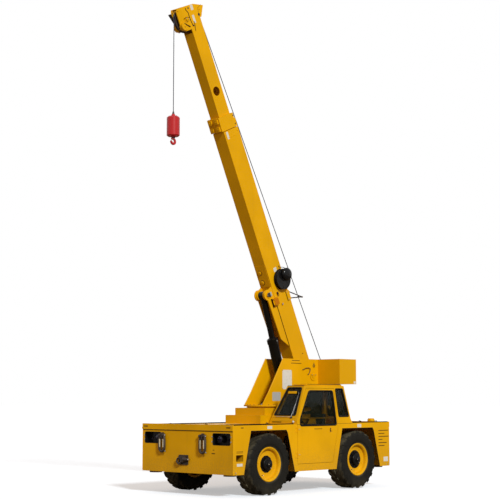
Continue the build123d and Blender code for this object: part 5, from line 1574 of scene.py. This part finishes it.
class CRANE_OT_seat(bpy.types.Operator):
    """Seat pad and back, blown up from their blocks as cloth"""
    bl_idname = "crane.seat"
    bl_label = "Seat"

    def execute(self, context):
        pad_box = at(MID - 0.1, SEAT_Y, SEAT_TOP - 0.05)
        self.cushion(context, "seat_pad", pad_box, (0.425, 0.385, 0.078), 0.009)
        lean = at(MID - 0.32, SEAT_Y, SEAT_TOP) @ spin(radians(-10), "Y")
        back_box = lean @ at(-0.015, 0, 0.262)
        back = self.cushion(context, "seat_back", back_box, (0.07, 0.385, 0.5), 0.009)
        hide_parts("seat_cushions")
        return {"FINISHED"}

    def cushion(self, context, name, place, size, cap):
        """A crowned closed form with a sewn welt round its middle."""
        bpy.ops.mesh.primitive_cube_add(size=1)
        piece = context.object
        piece.name = name
        piece.data.transform(Matrix.Diagonal((*size, 1)))
        bevel = piece.modifiers.new("round", "BEVEL")
        bevel.width = min(size) * 0.3
        bevel.segments = 3
        remesh = piece.modifiers.new("even", "REMESH")
        remesh.mode = "VOXEL"
        remesh.voxel_size = 0.006
        self.apply(context, piece)
        start = [v.co.copy() for v in piece.data.vertices]
        cloth = piece.modifiers.new("fill", "CLOTH")
        cloth.settings.use_pressure = True
        cloth.settings.uniform_pressure_force = 4
        cloth.settings.effector_weights.gravity = 0
        cloth.point_cache.frame_start = 1
        cloth.point_cache.frame_end = 20
        for step in range(1, 21):
            context.scene.frame_set(step)
        self.apply(context, piece)
        context.scene.frame_set(1)
        half = [v / 2 for v in size]
        thin = size.index(min(size))
        wide = [i for i in range(3) if i != thin]
        for vertex, rest in zip(piece.data.vertices, start):
            move = vertex.co - rest
            if move.length > cap:
                move *= cap / move.length
            co = rest + move
            for line in (-0.5, 0.0, 0.5):
                gap = abs(rest[wide[-1]] - line * half[wide[-1]] * 1.15)
                if gap < 0.012 and abs(rest[wide[0]]) < half[wide[0]] * 0.82:
                    co[thin] -= copysign(0.0035 * (1 - gap / 0.012), co[thin])
            vertex.co = co
        piece.data.transform(place)
        smooth = piece.modifiers.new("smooth", "SUBSURF")
        smooth.levels = 1
        smooth.render_levels = 1
        self.apply(context, piece)
        piece.data.shade_smooth()
        piece.data.materials.append(finish_of("seat_vinyl"))
        settle(piece, "chassis")
        return piece

    def apply(self, context, piece):
        """Bake every modifier into the mesh."""
        graph = context.evaluated_depsgraph_get()
        mesh = bpy.data.meshes.new_from_object(piece.evaluated_get(graph))
        piece.modifiers.clear()
        piece.data = mesh


class CRANE_OT_hood(bpy.types.Operator):
    """Latches, handles, hinges and exhaust outlet of the engine hood"""
    bl_idname = "crane.hood"
    bl_label = "Engine hood"

    def execute(self, context):
        form = Form()
        side = -1.15
        form.use("black_plastic")
        for x in (-2.02, -1.18):
            latch = facing((mid(x), side, 1.395), RIGHT, FORE)
            form.plate(rounded(rect(0.056, 0.096), 0.01, 3), 0.006, latch, 0.002)
            form.slab((0.03, 0.064, 0.012), latch @ at(0, 0, 0.01), 0.004)
        form.use("dark_steel")
        for x in (-1.78, -1.42):
            a, b = Vector((mid(x) - 0.075, side, 1.56)), Vector((mid(x) + 0.075, side, 1.56))
            out = Vector((0, -0.042, 0))
            bend = Vector((0.012, 0, 0))
            form.pipe([a, a + out * 0.8, a + out + bend, b + out - bend, b + out * 0.8, b], 0.007, 8)
        for x in (-2.05, -1.6, -1.15):
            form.rod((mid(x) - 0.04, 0.036, 1.716), (mid(x) + 0.04, 0.036, 1.716), 0.009, 12)
        form.use("machine_paint")
        for y in (-0.9, -0.56, -0.22):
            form.slab((1.06, 0.05, 0.01), at(mid(-1.6), y, 1.7235), 0.004)
        form.use("seal_rubber").slab((1.27, 0.01, 0.008), at(mid(-1.6), side - 0.003, 1.314), 0.002)
        form.slab((0.01, 1.17, 0.008), at(mid(-0.957), -0.56, 1.314), 0.002)
        form.use("machine_paint")
        for k in range(5):
            form.slab((0.34, 0.016, 0.022), at(mid(-1.6), side - 0.006, 1.43 + k * 0.042), 0.006)
        form.use("dark_steel")
        outlet = facing((mid(-2.11), -0.96, 1.718), UP)
        stack = [
            (0.036, 0.0), (0.064, 0.0), (0.064, 0.006), (0.046, 0.01), (0.046, 0.11), (0.04, 0.112),
            (0.036, 0.106), (0.036, 0.0)]
        form.turned(stack, outlet, 32)
        flap = at(mid(-2.11), -0.96, 1.834) @ spin(radians(-24), "Y")
        form.turned(disc(0.05, 0.003), flap, 28)
        form.use("zinc")
        for x in (-2.215, -0.985):
            for y in (-1.12, 0.0):
                form.bolt((mid(x), y, 1.7202), UP, 0.007)
        form.piece("hood_fittings", "chassis", "dark_steel")
        return {"FINISHED"}


class CRANE_OT_turret(bpy.types.Operator):
    """Plates, pins, bolts, hoses and handles of the turret and counterweight"""
    bl_idname = "crane.turret"
    bl_label = "Turret"

    def execute(self, context):
        form = Form()
        form.use("label_white").label((mid(-0.216), CHEEK_Y, 2.175), LEFT, (0.285, 0.39), thick=0.0015)
        form.use("label_grey").label((mid(0.106), CHEEK_Y, 1.835), LEFT, (0.245, 0.176), thick=0.0015)
        form.use("zinc")
        for x in (-0.348, -0.084):
            for z in (1.995, 2.355):
                form.bolt((mid(x), 0.2512, z), LEFT, 0.006)
        for side in (1, -1):
            for x, z, r in ((-1.02, 2.26, 0.05), (-0.42, 1.82, 0.046)):
                self.pin_end(form, Vector((mid(x), side * 0.264, z)), Vector((0, side, 0)), r)
            form.use("dark_steel")
            ring = facing((mid(-1.048), side * CHEEK_Y, 2.465), (0, side, 0))
            form.turned(disc(0.032, 0.008, 0.02), ring, 28)
            form.rod((mid(-1.048), side * 0.256, 2.5), (mid(-1.048), side * 0.256, 2.53), 0.005, 8)
            grip = [(mid(x), side * 0.272, z) for x, z in (
                (-0.692, 2.382), (-0.76, 2.408), (-0.83, 2.42), (-0.905, 2.408), (-0.9, 2.349),
                (-0.855, 2.287))]
            first, last = ((x, side * CHEEK_Y, z) for x, y, z in (grip[0], grip[-1]))
            form.pipe(smooth_path([first, *grip, last], 4), 0.007, 8)
            form.use("label_brown")
            for x, z, size in ((-0.484, 2.563, 0.235), (-0.498, 2.509, 0.32)):
                form.label((mid(x), side * CHEEK_Y, z), (0, side, 0), (size, 0.012))
            form.use("machine_paint")
            for a, b in (((0.498, 1.684), (0.336, 1.905)), ((0.336, 1.905), (-0.108, 2.598))):
                form.rod((mid(a[0]), side * 0.239, a[1]), (mid(b[0]), side * 0.239, b[1]), 0.012, 10)
            form.weld((mid(-0.3), side * 0.253, TURRET_FLOOR), (mid(0.5), side * 0.253, TURRET_FLOOR), 0.005)
        form.use("dark_steel")
        for spot in around(at(SLEW_X, 0, 1.6663), 28, 0.456):
            if abs(abs(spot.y) - 0.239) > 0.028:
                form.bolt(spot, UP, 0.01)
        form.use("hose_rubber")
        hoses = (-0.205, -0.18, 0.18, 0.205)
        for y in hoses:
            route = [(mid(x), y, z) for x, z in (
                (0.06, TURRET_FLOOR), (0.05, 1.712), (-0.02, 1.728), (-0.29, 1.728), (-0.35, 1.712),
                (-0.36, TURRET_FLOOR))]
            form.hose(route, 0.011)
        form.use("zinc")
        for y in hoses:
            for x in (0.06, -0.36):
                form.rod((mid(x), y, 1.666), (mid(x), y, 1.69), 0.012, 6)
        form.use("label_white").label((mid(-1.672), 0.83, 2.122), LEFT, (0.07, 0.05))
        form.label((mid(-1.24), 0.76, 2.4), FORE, (0.09, 0.06), LEFT)
        form.label((mid(-1.72), 0.0, 2.34), AFT, (0.56, 0.12), LEFT)
        form.use("dark_steel")
        for side in (1, -1):
            for y in (0.34, 0.74):
                for z in (2.18, 2.5):
                    form.bolt((mid(-1.72), side * y, z), AFT, 0.018)
        form.piece("turret_fittings", "turret", "dark_steel")
        self.drum_rope()
        return {"FINISHED"}

    def pin_end(self, form, spot, out, radius):
        """Pin head with its keeper plate and grease nipple."""
        form.use("machine_paint")
        place = facing(spot, out)
        head = [(0, -0.003), (radius, -0.003), (radius, 0.006), (radius - 0.005, 0.01), (0, 0.01)]
        form.turned(head, place, 36)
        form.slab((0.03, radius * 2.6, 0.007), place @ at(radius * 0.45, 0, 0.0125), 0.002)
        form.use("zinc")
        for side in (1, -1):
            form.bolt(place @ Vector((radius * 0.45, side * radius * 1.12, 0.016)), out, 0.007)
        form.rod(place @ Vector((-0.012, 0, 0.008)), place @ Vector((-0.012, 0, 0.022)), 0.0045, 8)

    def drum_rope(self):
        """Turns of rope on the drum."""
        form = Form().use("wire_rope")
        turns = 18
        for k in range(turns):
            y = -0.1475 + 0.295 * k / (turns - 1)
            form.pipe(ring_at(upright(DRUM, y), 0.1212, 40), 0.0082, 6, True)
        form.use("dark_steel")
        for side in (1, -1):
            for spot in around(upright(DRUM, side * 0.17), 6, 0.08, 0):
                form.bolt(spot, (0, side, 0), 0.008)
        form.piece("winch_rope", "winch", "wire_rope")


class CRANE_OT_boom(bpy.types.Operator):
    """Reel, rope guide, pins, labels, seams, painted shadow lines and painted shade on the boom's base and
    middle sections
    """
    bl_idname = "crane.boom"
    bl_label = "Boom"

    def execute(self, context):
        form = Form()
        near = Vector(LEFT)
        self.reel_housing(form)
        self.guide(form)
        form.use("label_white").label(on_boom(2.38, 0.15, -0.045), near, (0.09, 0.09), BOOM_AXIS)
        form.label(on_boom(5.286, 0.15, -0.215), near, (0.15, 0.056), BOOM_AXIS)
        form.use("label_brown")
        # Dark lines along the base section's lower seam: painted shadow in the joint.
        form.rod(on_boom(0.8, 0.1475, -0.301), on_boom(1.7, 0.1475, -0.301), 0.0055, 8)
        form.rod(on_boom(2.112, 0.15, -0.2985), on_boom(2.56, 0.15, -0.2985), 0.002, 6)
        # Dark disc at a hole: painted shade inside it.
        hole = facing(on_boom(0.503, 0.15, 0.007), near)
        form.turned(disc(0.012, 0.003), hole, 16)
        form.slab((0.066, 0.003, 0.056), BOOM @ at(1.915, 0.1575, -0.188), 0.001)
        # Dark slab under the valve block: a painted shadow; the shaded_paint slabs paint shade on the block's
        # faces.
        form.slab((0.184, 0.036, 0.014), BOOM @ at(1.789, 0.166, -0.4135), 0.003)
        form.use("shaded_paint").slab((0.128, 0.003, 0.116), BOOM @ at(1.789, 0.207, -0.324), 0.001)
        form.slab((0.003, 0.056, 0.116), BOOM @ at(1.857, 0.176, -0.324), 0.001)
        form.use("zinc")
        ring = facing(on_boom(1.672, 0.174, -0.148), near)
        form.turned(disc(0.0205, 0.004, 0.009), ring, 24)
        form.use("label_grey").slab((0.086, 0.03, 0.034), BOOM @ at(1.985, 0.176, -0.41), 0.005)
        for s in (1.965, 2.005):
            form.rod(on_boom(s, 0.176, -0.396), on_boom(s, 0.176, -0.374), 0.009, 6)
        for side in (1, -1):
            self.eye_pin(form, side)
        for s in (2.206, 2.414):
            form.use("label_brown")
            boss = facing(on_boom(s, -0.04, -0.306), -BOOM_UP)
            form.turned([(0.043, 0), (0.053, 0), (0.052, 0.006), (0.0442, 0.01)], boss, 32)
            form.use("machine_paint")
            form.turned([(0, 0.0215), (0.034, 0.0215), (0.03, 0.027), (0, 0.028)], boss, 32)
        form.use("machine_paint")
        for side in (1, -1):
            y = side * 0.1505
            form.weld(on_boom(5.24, y, 0.11), on_boom(5.24, y, -0.27), 0.003)
            for start, h in ((0.62, -0.292), (-0.12, 0.132)):
                form.weld(on_boom(start, y, h), on_boom(5.36, y, h), 0.0022, 0.03)
            form.bolt(on_boom(5.31, side * 0.15, 0.09), (0, side, 0), 0.01)
        form.use("dark_steel")
        for y in (-0.085, 0.085):
            for s in (5.29, 5.345):
                form.bolt(on_boom(s, y, 0.14), BOOM_UP, 0.01)
        form.piece("boom_fittings", "boom", "dark_steel")
        self.collar()
        self.reel_cable()
        return {"FINISHED"}

    def reel_housing(self, form):
        """Slip ring housing that hangs on the reel's pin, outside the drum."""
        form.use("black_paint")
        near = Vector(LEFT)
        centre = facing(on_boom(2.212, 0.2545, 0.108), near)
        lobe = [
            (0, 0), (0.126, 0), (0.132, 0.006), (0.132, 0.04), (0.118, 0.06), (0.085, 0.074),
            (0.04, 0.08), (0, 0.081)]
        form.turned(lobe, centre, 44)
        form.turned([(0, 0.076), (0.022, 0.076), (0.02, 0.086), (0, 0.088)], centre, 28)
        arm = [
            (2.105, -0.01), (2.145, -0.03), (2.26, 0.04), (2.3, 0.125), (2.2, 0.18), (2.105, 0.06)]
        place = BOOM @ Matrix(((1, 0, 0, 0), (0, 0, -1, 0.262), (0, 1, 0, 0), (0, 0, 0, 1)))
        form.plate(arm, 0.01, place, 0.003)
        pin = facing(on_boom(2.145, 0.2465, 0.02), near)
        form.turned(button(0.04, 0.014, 0.03, 0.024), pin, 32)
        for spot in around(centre, 6, 0.1, 0, 0.068):
            form.bolt(spot, near, 0.005, False)
        form.use("hose_rubber")
        route = [
            on_boom(2.318, 0.29, 0.11), on_boom(2.35, 0.288, 0.095), on_boom(2.375, 0.25, 0.085),
            on_boom(2.385, 0.17, 0.08), on_boom(2.42, 0.156, 0.08)]
        form.hose(route, 0.006)

    def guide(self, form):
        """Dark rods of the rope guide and the ring that the rope runs through."""
        form.use("dark_steel")
        for s in (1.69, 1.838):
            form.rod(on_boom(s, 0.154, 0.128), on_boom(1.522, 0.026, 0.628), 0.0112, 10)
        form.rod(on_boom(1.522, 0.0155, 0.628), on_boom(1.522, 0.0365, 0.628), 0.0172, 20)
        axis = (on_boom(7.8, 0, 0.1525) - ROPE_GUIDE).normalized()
        form.pipe(ring_at(facing(ROPE_GUIDE, axis), 0.02, 24), 0.0055, 8, True)
        # Dark strip under the guide plate's lower edge: a painted shadow.
        form.use("label_brown").slab((0.196, 0.0175, 0.004), BOOM @ at(1.761, 0.1585, 0.0505), 0.001)
        form.use("zinc")
        for s in (1.684, 1.844):
            form.bolt(on_boom(s, 0.166, 0.08), LEFT, 0.008)

    def eye_pin(self, form, side):
        """Head, keeper and nipple of the lift rod's pin."""
        out = Vector((0, side, 0))
        place = facing(CYL_EYE + out * 0.156, out)
        form.use("dark_steel")
        form.turned([(0, -0.002), (0.046, -0.002), (0.046, 0.008), (0.04, 0.013), (0, 0.013)], place, 36)
        form.slab((0.026, 0.108, 0.007), place @ at(-0.02, 0, 0.015), 0.002)
        form.use("zinc")
        for k in (1, -1):
            form.bolt(place @ Vector((-0.02, k * 0.044, 0.018)), out, 0.006)

    def collar(self):
        """Pad adjusters and welds on the middle section's collar."""
        form = Form().use("dark_steel")
        start = COLLAR_S
        for side in (1, -1):
            for s in (start + 0.055, start + 0.225):
                form.bolt(on_boom(s, side * 0.158, 0.085), (0, side, 0), 0.01)
        for y in (-0.09, 0.09):
            form.bolt(on_boom(start + 0.065, y, 0.131), BOOM_UP, 0.011)
        form.use("machine_paint")
        for y in (-0.09, 0.09):
            for s in (start + 0.065, start + 0.215):
                form.bolt(on_boom(s, y, -0.374), -BOOM_UP, 0.011)
        for side in (1, -1):
            y = side * 0.159
            form.weld(on_boom(start + 0.003, y, 0.12), on_boom(start + 0.003, y, -0.33), 0.003)
        form.piece("collar_fittings", "mid_section", "dark_steel")

    def reel_cable(self):
        """Turns of cable between the reel's flanges, and spokes pressed in its outer face."""
        form = Form().use("hose_rubber")
        for k in range(7):
            turn = upright(REEL, 0.1805 + k * 0.0076) @ spin(BOOM_ANGLE)
            form.pipe(ring_at(turn, 0.1895, 48), 0.0038, 6, True)
        form.use("black_paint")
        face = facing(on_boom(2.145, 0.242, 0.02), LEFT)
        rim = [(0.186, 0), (0.2118, 0), (0.2118, 0.0025), (0.206, 0.004), (0.192, 0.004), (0.186, 0.0025)]
        form.turned(rim, face, 64)
        for k in range(6):
            turn = face @ spin(tau * k / 6)
            form.slab((0.082, 0.02, 0.006), turn @ at(0.142, 0, 0.0015), 0.002)
        form.piece("reel_fittings", "reel", "black_paint")


class CRANE_OT_head(bpy.types.Operator):
    """Guard, painted shadow lines at seams and edges, a dark disc of painted shade for a hole, pins, labels
    and bolts of the boom head and its sheave
    """
    bl_idname = "crane.head"
    bl_label = "Boom head"

    def execute(self, context):
        form = Form()
        near = Vector(LEFT)
        form.use("dark_steel")
        top = SHEAVE + Vector((0.314, 0, 0.061))
        low = SHEAVE + Vector((0.107, 0, -0.11))
        down = (low - top).normalized()
        reach = (low - top).length / 2
        guard = facing((top + low) / 2, Vector(LEFT).cross(down), LEFT)
        outline = [(-0.01, -reach), (-0.088, -reach), (-0.108, reach), (-0.066, reach)]
        form.plate(outline, 0.008, guard, 0.003)
        # Dark lines: painted shadow along the step seam (seam), painted shade on the bent edge (edge) and the
        # painted shadow cast by the lobe's top edge (slot); upper_line is a thin dark line round the upper
        # bracket.
        form.use("label_brown")
        seam = [
            (7.89, -0.272), (7.852, -0.277), (7.793, -0.236), (7.696, -0.237), (7.61, -0.226),
            (7.52, -0.208)]
        edge = [(7.7, -0.24), (7.72, -0.33), (7.7, -0.4)]
        slot = [(7.64, 0.106, -0.438), (7.58, 0.1215, -0.372), (7.528, 0.1215, -0.295)]
        upper_line = [(7.65, 0.03), (7.83, 0.06), (7.868, 0.17)]
        form.pipe([on_boom(s, 0.1205, h) for s, h in seam], 0.008, 8)
        form.pipe([on_boom(s, 0.1205, h) for s, h in edge], 0.0055, 6)
        form.pipe([on_boom(*p) for p in slot], 0.0125, 6)
        form.pipe([on_boom(s, 0.1205, h) for s, h in upper_line], 0.003, 6)
        # Black disc at a hole: painted shade inside it.
        form.use("black_plastic")
        hole = facing(on_boom(7.698, 0.12, 0.042), near)
        form.turned(disc(0.027, 0.002), hole, 24)
        form.use("dark_steel")
        for s, h in ((7.877, -0.2), (7.528, -0.19)):
            for side in (1, -1):
                form.bolt(on_boom(s, side * 0.12, h), (0, side, 0), 0.012)
        form.use("label_white").label(on_boom(7.87, 0.12, -0.097), near, (0.105, 0.075), BOOM_AXIS)
        form.label(on_boom(7.646, 0.12, -0.128), near, (0.16, 0.06), BOOM_AXIS)
        form.use("machine_paint")
        for side in (1, -1):
            out = Vector((0, side, 0))
            place = facing(on_boom(7.673, side * 0.132, -0.32), out)
            form.turned([(0, -0.002), (0.032, -0.002), (0.032, 0.005), (0.026, 0.009), (0, 0.009)], place, 28)
            form.slab((0.024, 0.092, 0.006), place @ at(0.015, 0, 0.009), 0.002)
            form.use("zinc")
            for k in (1, -1):
                form.bolt(place @ Vector((0.015, k * 0.038, 0.012)), out, 0.006)
            form.use("machine_paint")
            pin = facing(on_boom(7.566, side * 0.12, -0.424), out)
            form.turned(button(0.02, 0.006, 0.014, 0.01), pin, 24)
            form.rod(on_boom(7.8, side * 0.119, 0.096), on_boom(7.8, side * 0.131, 0.096), 0.018, 6)
        for s, h in ((7.88, -0.47), (7.53, -0.486), (7.5, 0.02)):
            form.rod(on_boom(s, -0.099, h), on_boom(s, 0.099, h), 0.01, 12)
        form.use("hose_rubber")
        route = [on_boom(*p) for p in (
            (7.41, 0.121, -0.18), (7.47, 0.127, -0.175), (7.56, 0.127, -0.15), (7.61, 0.121, -0.15))]
        form.hose(route, 0.005)
        form.piece("head_fittings", "tip_section", "dark_steel")
        form = Form().use("dark_steel")
        for spot in around(upright(SHEAVE), 6, 0.062, 0):
            for side in (1, -1):
                out = Vector((0, side, 0))
                form.bolt(spot + out * 0.032, out, 0.006, False)
        form.piece("sheave_bolts", "sheave", "dark_steel")
        return {"FINISHED"}


class CRANE_OT_lift_cylinder(bpy.types.Operator):
    """Gland, ports, pipe and bolts of the lift cylinder"""
    bl_idname = "crane.lift_cylinder"
    bl_label = "Lift cylinder"

    def execute(self, context):
        up = CYL_AXIS
        side = Vector(LEFT)
        form = Form().use("cylinder_paint")
        head = facing(CYL_FOOT + up * 1.2315, up)
        form.turned([(0.0635, 0), (0.1, 0), (0.1, 0.01), (0.09, 0.016), (0.0635, 0.016)], head, 48)
        form.use("dark_steel")
        for spot in around(head, 8, 0.082, height=0.0155):
            form.bolt(spot, up, 0.007, False)
        form.use("seal_rubber")
        form.turned([(0.063, 0.012), (0.072, 0.012), (0.07, 0.024), (0.0632, 0.026)], head, 40)
        form.use("cylinder_paint")
        ports = []
        for along in (0.17, 1.19):
            spot = CYL_FOOT + up * along + side * 0.095
            form.rod(spot, spot + side * 0.022, 0.022, 16)
            ports.append(spot + side * 0.022)
        form.use("zinc")
        for spot in ports:
            form.rod(spot, spot + side * 0.008, 0.015, 6)
        form.use("hose_rubber")
        b, a = ports
        form.pipe([a, a - up * 0.06, b + up * 0.06, b], 0.009, 8)
        form.piece("barrel_fittings", "barrel", "black_paint")
        form = Form().use("cylinder_paint")
        for out in (side, -side):
            eye = facing(CYL_EYE + out * 0.066, out)
            form.turned([(0.037, 0.0), (0.07, 0.0), (0.066, 0.004), (0.037, 0.004)], eye, 40)
        form.use("zinc")
        nipple = CYL_EYE + up * 0.077
        form.rod(nipple, nipple + up * 0.014, 0.0045, 8)
        form.piece("rod_fittings", "rod", "black_paint")
        return {"FINISHED"}


class CRANE_OT_hook_block(bpy.types.Operator):
    """Latch, bearing ring and bolts of the hook and its weight"""
    bl_idname = "crane.hook_block"
    bl_label = "Hook and weight"

    def execute(self, context):
        low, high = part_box("hook_weight")
        bottom = low[2]
        centre = Vector((FALL_X, 0, 0))
        form = Form().use("hook_paint")
        for z in (bottom + 0.06, bottom + 0.3):
            ring = facing(centre + Vector((0, 0, z)), UP)
            form.turned([(0.123, 0), (0.1248, 0.002), (0.1248, 0.01), (0.123, 0.012)], ring, 56)
        form.use("dark_steel")
        for spot in around(at(FALL_X, 0, high[2] - 0.0427), 6, 0.08):
            form.bolt(spot, UP, 0.009)
        socket = facing(centre + Vector((0, 0, high[2] - 0.004)), UP)
        form.turned([(0.0085, 0), (0.024, 0), (0.02, 0.03), (0.013, 0.06), (0.0085, 0.062)], socket, 28)
        form.piece("weight_fittings", "weight", "red_paint")
        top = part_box("hook")[1][2]
        form = Form().use("dark_steel")
        nut = facing(centre + Vector((0, 0, top - 0.036)), UP)
        form.turned(disc(0.038, 0.018, 0.021), nut, 6)
        form.use("zinc")
        z = 6.661
        bends = ((0.01, 0.06), (0.036, 0.04), (0.05, 0.01))
        latch = [centre + Vector((x, 0, z + rise)) for x, rise in bends]
        for y in (-0.012, 0.012):
            form.pipe([p + Vector((0, y, 0)) for p in latch], 0.0035, 8)
        form.rod(latch[0] - Vector((0, 0.024, 0)), latch[0] + Vector((0, 0.024, 0)), 0.006, 12)
        form.slab((0.01, 0.03, 0.022), Matrix.Translation(latch[2]) @ spin(0.4, "Y"), 0.003)
        form.piece("hook_latch", "hook", "red_paint")
        return {"FINISHED"}


class CRANE_OT_outriggers(bpy.types.Operator):
    """Pad rims, ribs and pins of the outriggers"""
    bl_idname = "crane.outriggers"
    bl_label = "Outriggers"

    def execute(self, context):
        for corner, axle_x, sign in CORNERS:
            end = 1 if axle_x == FRONT_AXLE else -1
            x = (FRONT - 0.15) if end > 0 else (REAR + 0.15)
            foot = Vector((x, sign * 1.000, 0.462))
            along = Vector((0, -sign * cos(radians(30)), sin(radians(30))))
            form = Form().use("dark_steel")
            pad = facing((x, sign * 1.000, 0.385), UP)
            rim = [(0.112, 0), (0.1205, 0.002), (0.1225, 0.01), (0.1205, 0.02), (0.112, 0.0215)]
            form.turned(rim, pad, 48)
            form.turned([(0.044, 0.02), (0.06, 0.02), (0.052, 0.04), (0.044, 0.044)], pad, 36)
            for k in range(4):
                turn = pad @ spin(tau * (k + 0.5) / 4)
                form.slab((0.056, 0.01, 0.03), turn @ at(0.076, 0, 0.036), 0.003)
            form.use("zinc")
            for side in (1, -1):
                spot = foot + Vector((side * 0.0555, 0, 0.0)) + along * 0.06
                form.rod(spot - Vector((side * 0.006, 0, 0)), spot + Vector((side * 0.01, 0, 0)), 0.016, 20)
            form.piece("outrigger_fittings_" + corner, "leg_" + corner, "dark_steel")
        return {"FINISHED"}


class CRANE_OT_hoist_rope(bpy.types.Operator):
    """The hanging rope and the taut rope from the winch to the head"""
    bl_idname = "crane.hoist_rope"
    bl_label = "Hoist rope"

    def execute(self, context):
        radius = sizes().rope / 2
        low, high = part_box("rope_fall")
        form = Form().use("wire_rope")
        bottom, top = Vector((FALL_X, 0, low[2])), Vector((FALL_X, 0, high[2]))
        form.rope(bottom, top, radius)
        fall = form.piece("hanging_rope", None, "wire_rope", 60, ("rope_fall",))
        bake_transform(fall)
        guide = ROPE_GUIDE
        leave = self.tangent(guide, DRUM, DRUM_WRAP) + Vector((0, 0.02, 0))
        meet = self.tangent(guide, IDLER, IDLER_WRAP)
        middle = guide.lerp(meet, COLLAR_SHARE)
        self.run("rope_winch_to_guide", leave, guide, radius, "turret", "boom")
        self.run("rope_guide_to_collar", guide, middle, radius, "boom", "mid_section")
        self.run("rope_collar_to_idler", middle, meet, radius, "mid_section", "tip_section")
        self.over_the_head(meet, radius)
        return {"FINISHED"}

    def tangent(self, point, centre, radius):
        """Where a line from point touches the upper side of a circle across the machine."""
        away = centre - point
        reach = away.length
        lean = acos(radius / reach)
        best = None
        for sign in (1, -1):
            spot = centre + (spin(sign * lean, "Y") @ (-away.normalized())) * radius
            spot.y = centre.y
            if best is None or (spot - centre).dot(BOOM_UP) > (best - centre).dot(BOOM_UP):
                best = spot
        return best

    def arc(self, centre, radius, start, end, steps):
        """Points of an arc in the upright plane, between two angles."""
        angles = [start + (end - start) * k / steps for k in range(steps + 1)]
        return [centre + Vector((cos(a), 0, sin(a))) * radius for a in angles]

    def run(self, name, start, end, radius, first, second):
        """One straight length of rope, which rides on no body."""
        form = Form().use("wire_rope")
        form.rope(start, end, radius)
        piece = form.piece(name, None, "wire_rope", 60)
        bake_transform(piece)

    def over_the_head(self, meet, radius):
        """Rope over the idler, across to the sheave and round it to the fall."""
        gap = SHEAVE - IDLER
        lean = acos((SHEAVE_WRAP - IDLER_WRAP) / gap.length)
        best = None
        for sign in (1, -1):
            way = spin(sign * lean, "Y") @ gap.normalized()
            if best is None or way.dot(Vector((0.5, 0, 1))) > best.dot(Vector((0.5, 0, 1))):
                best = way
        start = atan2((meet - IDLER).z, (meet - IDLER).x)
        end = atan2(best.z, best.x)
        path = self.arc(IDLER, IDLER_WRAP, start, end, 10)
        a, b = path[-1], SHEAVE + best * SHEAVE_WRAP
        path += [a.lerp(b, k / 6) for k in range(1, 6)]
        path += self.arc(SHEAVE, SHEAVE_WRAP, end, 0.0, 24)
        form = Form().use("wire_rope")
        form.laid(path, radius)
        form.piece("rope_over_head", "tip_section", "wire_rope", 60)


CLASSES = [CraneSizes, CraneColours, CraneStage]
OPERATORS = [
    CRANE_OT_stage, CRANE_OT_finishes, CRANE_OT_tyres, CRANE_OT_wheels, CRANE_OT_running_gear, CRANE_OT_front,
    CRANE_OT_rear, CRANE_OT_deck, CRANE_OT_sides, CRANE_OT_cab, CRANE_OT_seat, CRANE_OT_hood, CRANE_OT_turret,
    CRANE_OT_boom, CRANE_OT_head, CRANE_OT_lift_cylinder, CRANE_OT_hook_block, CRANE_OT_outriggers,
    CRANE_OT_hoist_rope,
]


class CRANE_PT_panel(bpy.types.Panel):
    """Lists the crane's steps and settings"""
    bl_idname = "CRANE_PT_panel"
    bl_label = "Carry deck crane"
    bl_space_type = "VIEW_3D"
    bl_region_type = "UI"
    bl_category = "Crane"

    def draw(self, context):
        layout = self.layout
        for group in (context.scene.crane_sizes, context.scene.crane_colours, context.scene.crane_stage):
            for key in group.__annotations__:
                layout.prop(group, key)
        for operator in OPERATORS:
            layout.operator(operator.bl_idname)


def register():
    for cls in (*CLASSES, *OPERATORS, CRANE_PT_panel):
        bpy.utils.register_class(cls)
    bpy.types.Scene.crane_sizes = bpy.props.PointerProperty(type=CraneSizes)
    bpy.types.Scene.crane_colours = bpy.props.PointerProperty(type=CraneColours)
    bpy.types.Scene.crane_stage = bpy.props.PointerProperty(type=CraneStage)


def unregister():
    del bpy.types.Scene.crane_stage
    del bpy.types.Scene.crane_colours
    del bpy.types.Scene.crane_sizes
    for cls in reversed((*CLASSES, *OPERATORS, CRANE_PT_panel)):
        bpy.utils.unregister_class(cls)


def main():
    register()
    for operator in OPERATORS:
        group, name = operator.bl_idname.split(".")
        getattr(getattr(bpy.ops, group), name)()


if __name__ == "__main__":
    main()
